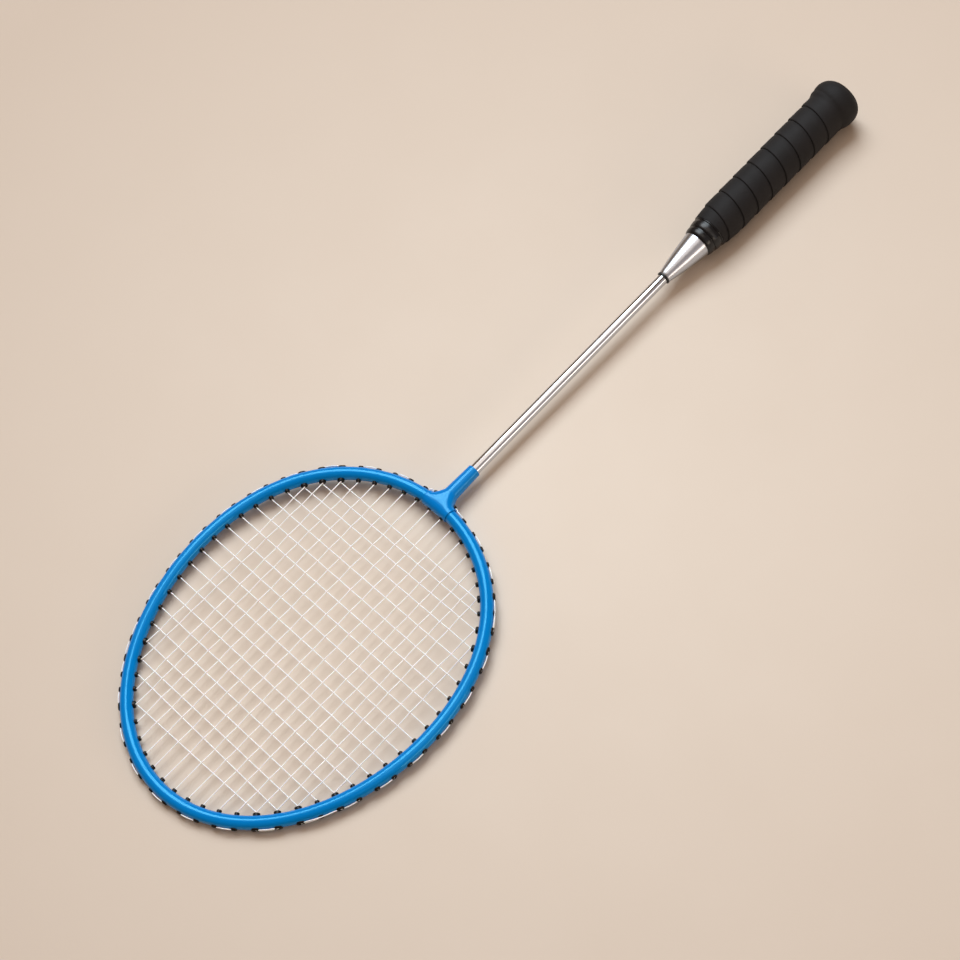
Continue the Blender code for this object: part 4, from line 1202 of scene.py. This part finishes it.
def outside_span(start, end, side):
    """The string's way along the outside of the tube and of the sleeve."""
    turn = end.angle - start.angle
    turn -= 2 * math.pi * round(turn / (2 * math.pi))
    length = (head_point(start.angle) - head_point(end.angle)).length
    points = []
    for k in range(1, SPAN_STEPS):
        share = k / SPAN_STEPS
        hole = start if share < 0.5 else end
        place = head_point(start.angle + turn * share)
        past = min(share, 1 - share) * length
        near_hole = eased_share(1 - past / SPAN_REST)
        on_sleeve = 0
        if place.y < THROAT_Y + HEAD_HALF_WIDTH:
            on_sleeve = eased_share((SLEEVE_HALF + SLEEVE_STEP - abs(place.x)) / SLEEVE_STEP)
        surface = TUBE_RADIUS + (SLEEVE_END_RADIUS - TUBE_RADIUS) * on_sleeve
        rise = Vector((0, 0, SPAN_RISE + side * SPAN_APART)).lerp(lift(hole, side), near_hole)
        height = surface + STRING_RADIUS + SPAN_BOW * math.sin(math.pi * share)
        out = math.sqrt(height**2 - rise.z**2)
        points.append(place + head_outward(start.angle + turn * share) * out + rise)
    return points


def rounded(points):
    """The same way with its bends eased."""
    eased = [points[0]]
    for before, point, after in zip(points, points[1:], points[2:]):
        back = before - point
        on = after - point
        reach = min(BEND_REACH, back.length / 3, on.length / 3)
        start = point + back.normalized() * reach
        end = point + on.normalized() * reach
        for share in BEND_SHARES:
            eased.append(start.lerp(point, share).lerp(point.lerp(end, share), share))
    return eased + [points[-1]]


def knot(place):
    """A small overhand knot, as a closed loop round this place."""
    loop = []
    for k in range(KNOT_STEPS):
        turn = 2 * math.pi * k / KNOT_STEPS
        x = math.sin(turn) + 2 * math.sin(2 * turn)
        y = math.cos(turn) - 2 * math.cos(2 * turn)
        loop.append(place + Vector((x, y, -math.sin(3 * turn))) * KNOT_RADIUS / 3)
    return loop


def add_string(name, route, material):
    """Draws a string along its route, with a knot at each end."""
    curve = bpy.data.curves.new(name, "CURVE")
    curve.dimensions = "3D"
    curve.bevel_depth = STRING_RADIUS
    curve.bevel_resolution = 2
    curve.use_fill_caps = True
    for points in (rounded(route), knot(route[0]), knot(route[-1])):
        spline = curve.splines.new("POLY")
        spline.points.add(len(points) - 1)
        spline.use_cyclic_u = len(points) == KNOT_STEPS
        for k, point in enumerate(points):
            spline.points[k].co = (*point, 1)
    curve.materials.append(material)
    piece = bpy.data.objects.new(name, curve)
    scene.collection.objects.link(piece)
    return piece


# Multifilament nylon: warm white under a glossy coat, a little light passing into it.
white_nylon, white_nylon_shader, place = new_material(
    "white_nylon",
    {
        "Roughness": 0.3,
        "IOR": 1.53,
        "Subsurface Weight": 0.1,
        "Subsurface Scale": 0.0004,
        "Coat Weight": 0.8,
        "Coat Roughness": 0.15,
    },
)
strands = add_node(
    white_nylon, "ShaderNodeTexNoise", {"Vector": place, "Scale": 1 / STRAND_LENGTH, "Detail": 3}
)
tint = add_node(
    white_nylon,
    "ShaderNodeMix",
    {"Factor": strands, MIX_FIRST: linear(NYLON_WHITE), MIX_SECOND: linear(NYLON_CREAM)},
    data_type="RGBA",
)
set_inputs(white_nylon_shader, {"Base Color": tint})

passed = {number: passes(number) for number in range(1, MAIN_COUNT + 1)}
route = []
for number in range(1, MAIN_COUNT + 1):
    low = holes["main", number, "throat"]
    high = holes["main", number, "tip"]
    leg = [outer_point(low, 1), inner_point(low, 1)]
    leg += [crossing(number, cross, 1) for cross in passed[number]]
    leg += [inner_point(high, 1), outer_point(high, 1)]
    if number > 1:
        end = "throat" if number % 2 else "tip"
        route += outside_span(holes["main", number - 1, end], holes["main", number, end], 1)
    route += leg if number % 2 else leg[::-1]
route[0] = knot_point(holes["main", 1, "throat"])
route[-1] = knot_point(holes["main", MAIN_COUNT, "throat"])
mains = add_string("mains", route, white_nylon)
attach(mains, "root")
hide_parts("main_string")

route = []
for number in range(1, CROSS_COUNT + 1):
    plus = holes["cross", number, "plus"]
    minus = holes["cross", number, "minus"]
    leg = [outer_point(plus, -1), inner_point(plus, -1)]
    leg += [crossing(main, number, -1) for main in passed if number in passed[main]]
    leg += [inner_point(minus, -1), outer_point(minus, -1)]
    if number > 1:
        end = "plus" if number % 2 else "minus"
        route += outside_span(holes["cross", number - 1, end], holes["cross", number, end], -1)
    route += leg if number % 2 else leg[::-1]
route[0] = knot_point(holes["cross", 1, "plus"])
route[-1] = knot_point(holes["cross", CROSS_COUNT, "minus"])
crosses = add_string("crosses", route, white_nylon)
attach(crosses, "root")
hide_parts("cross_string")


low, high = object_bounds()
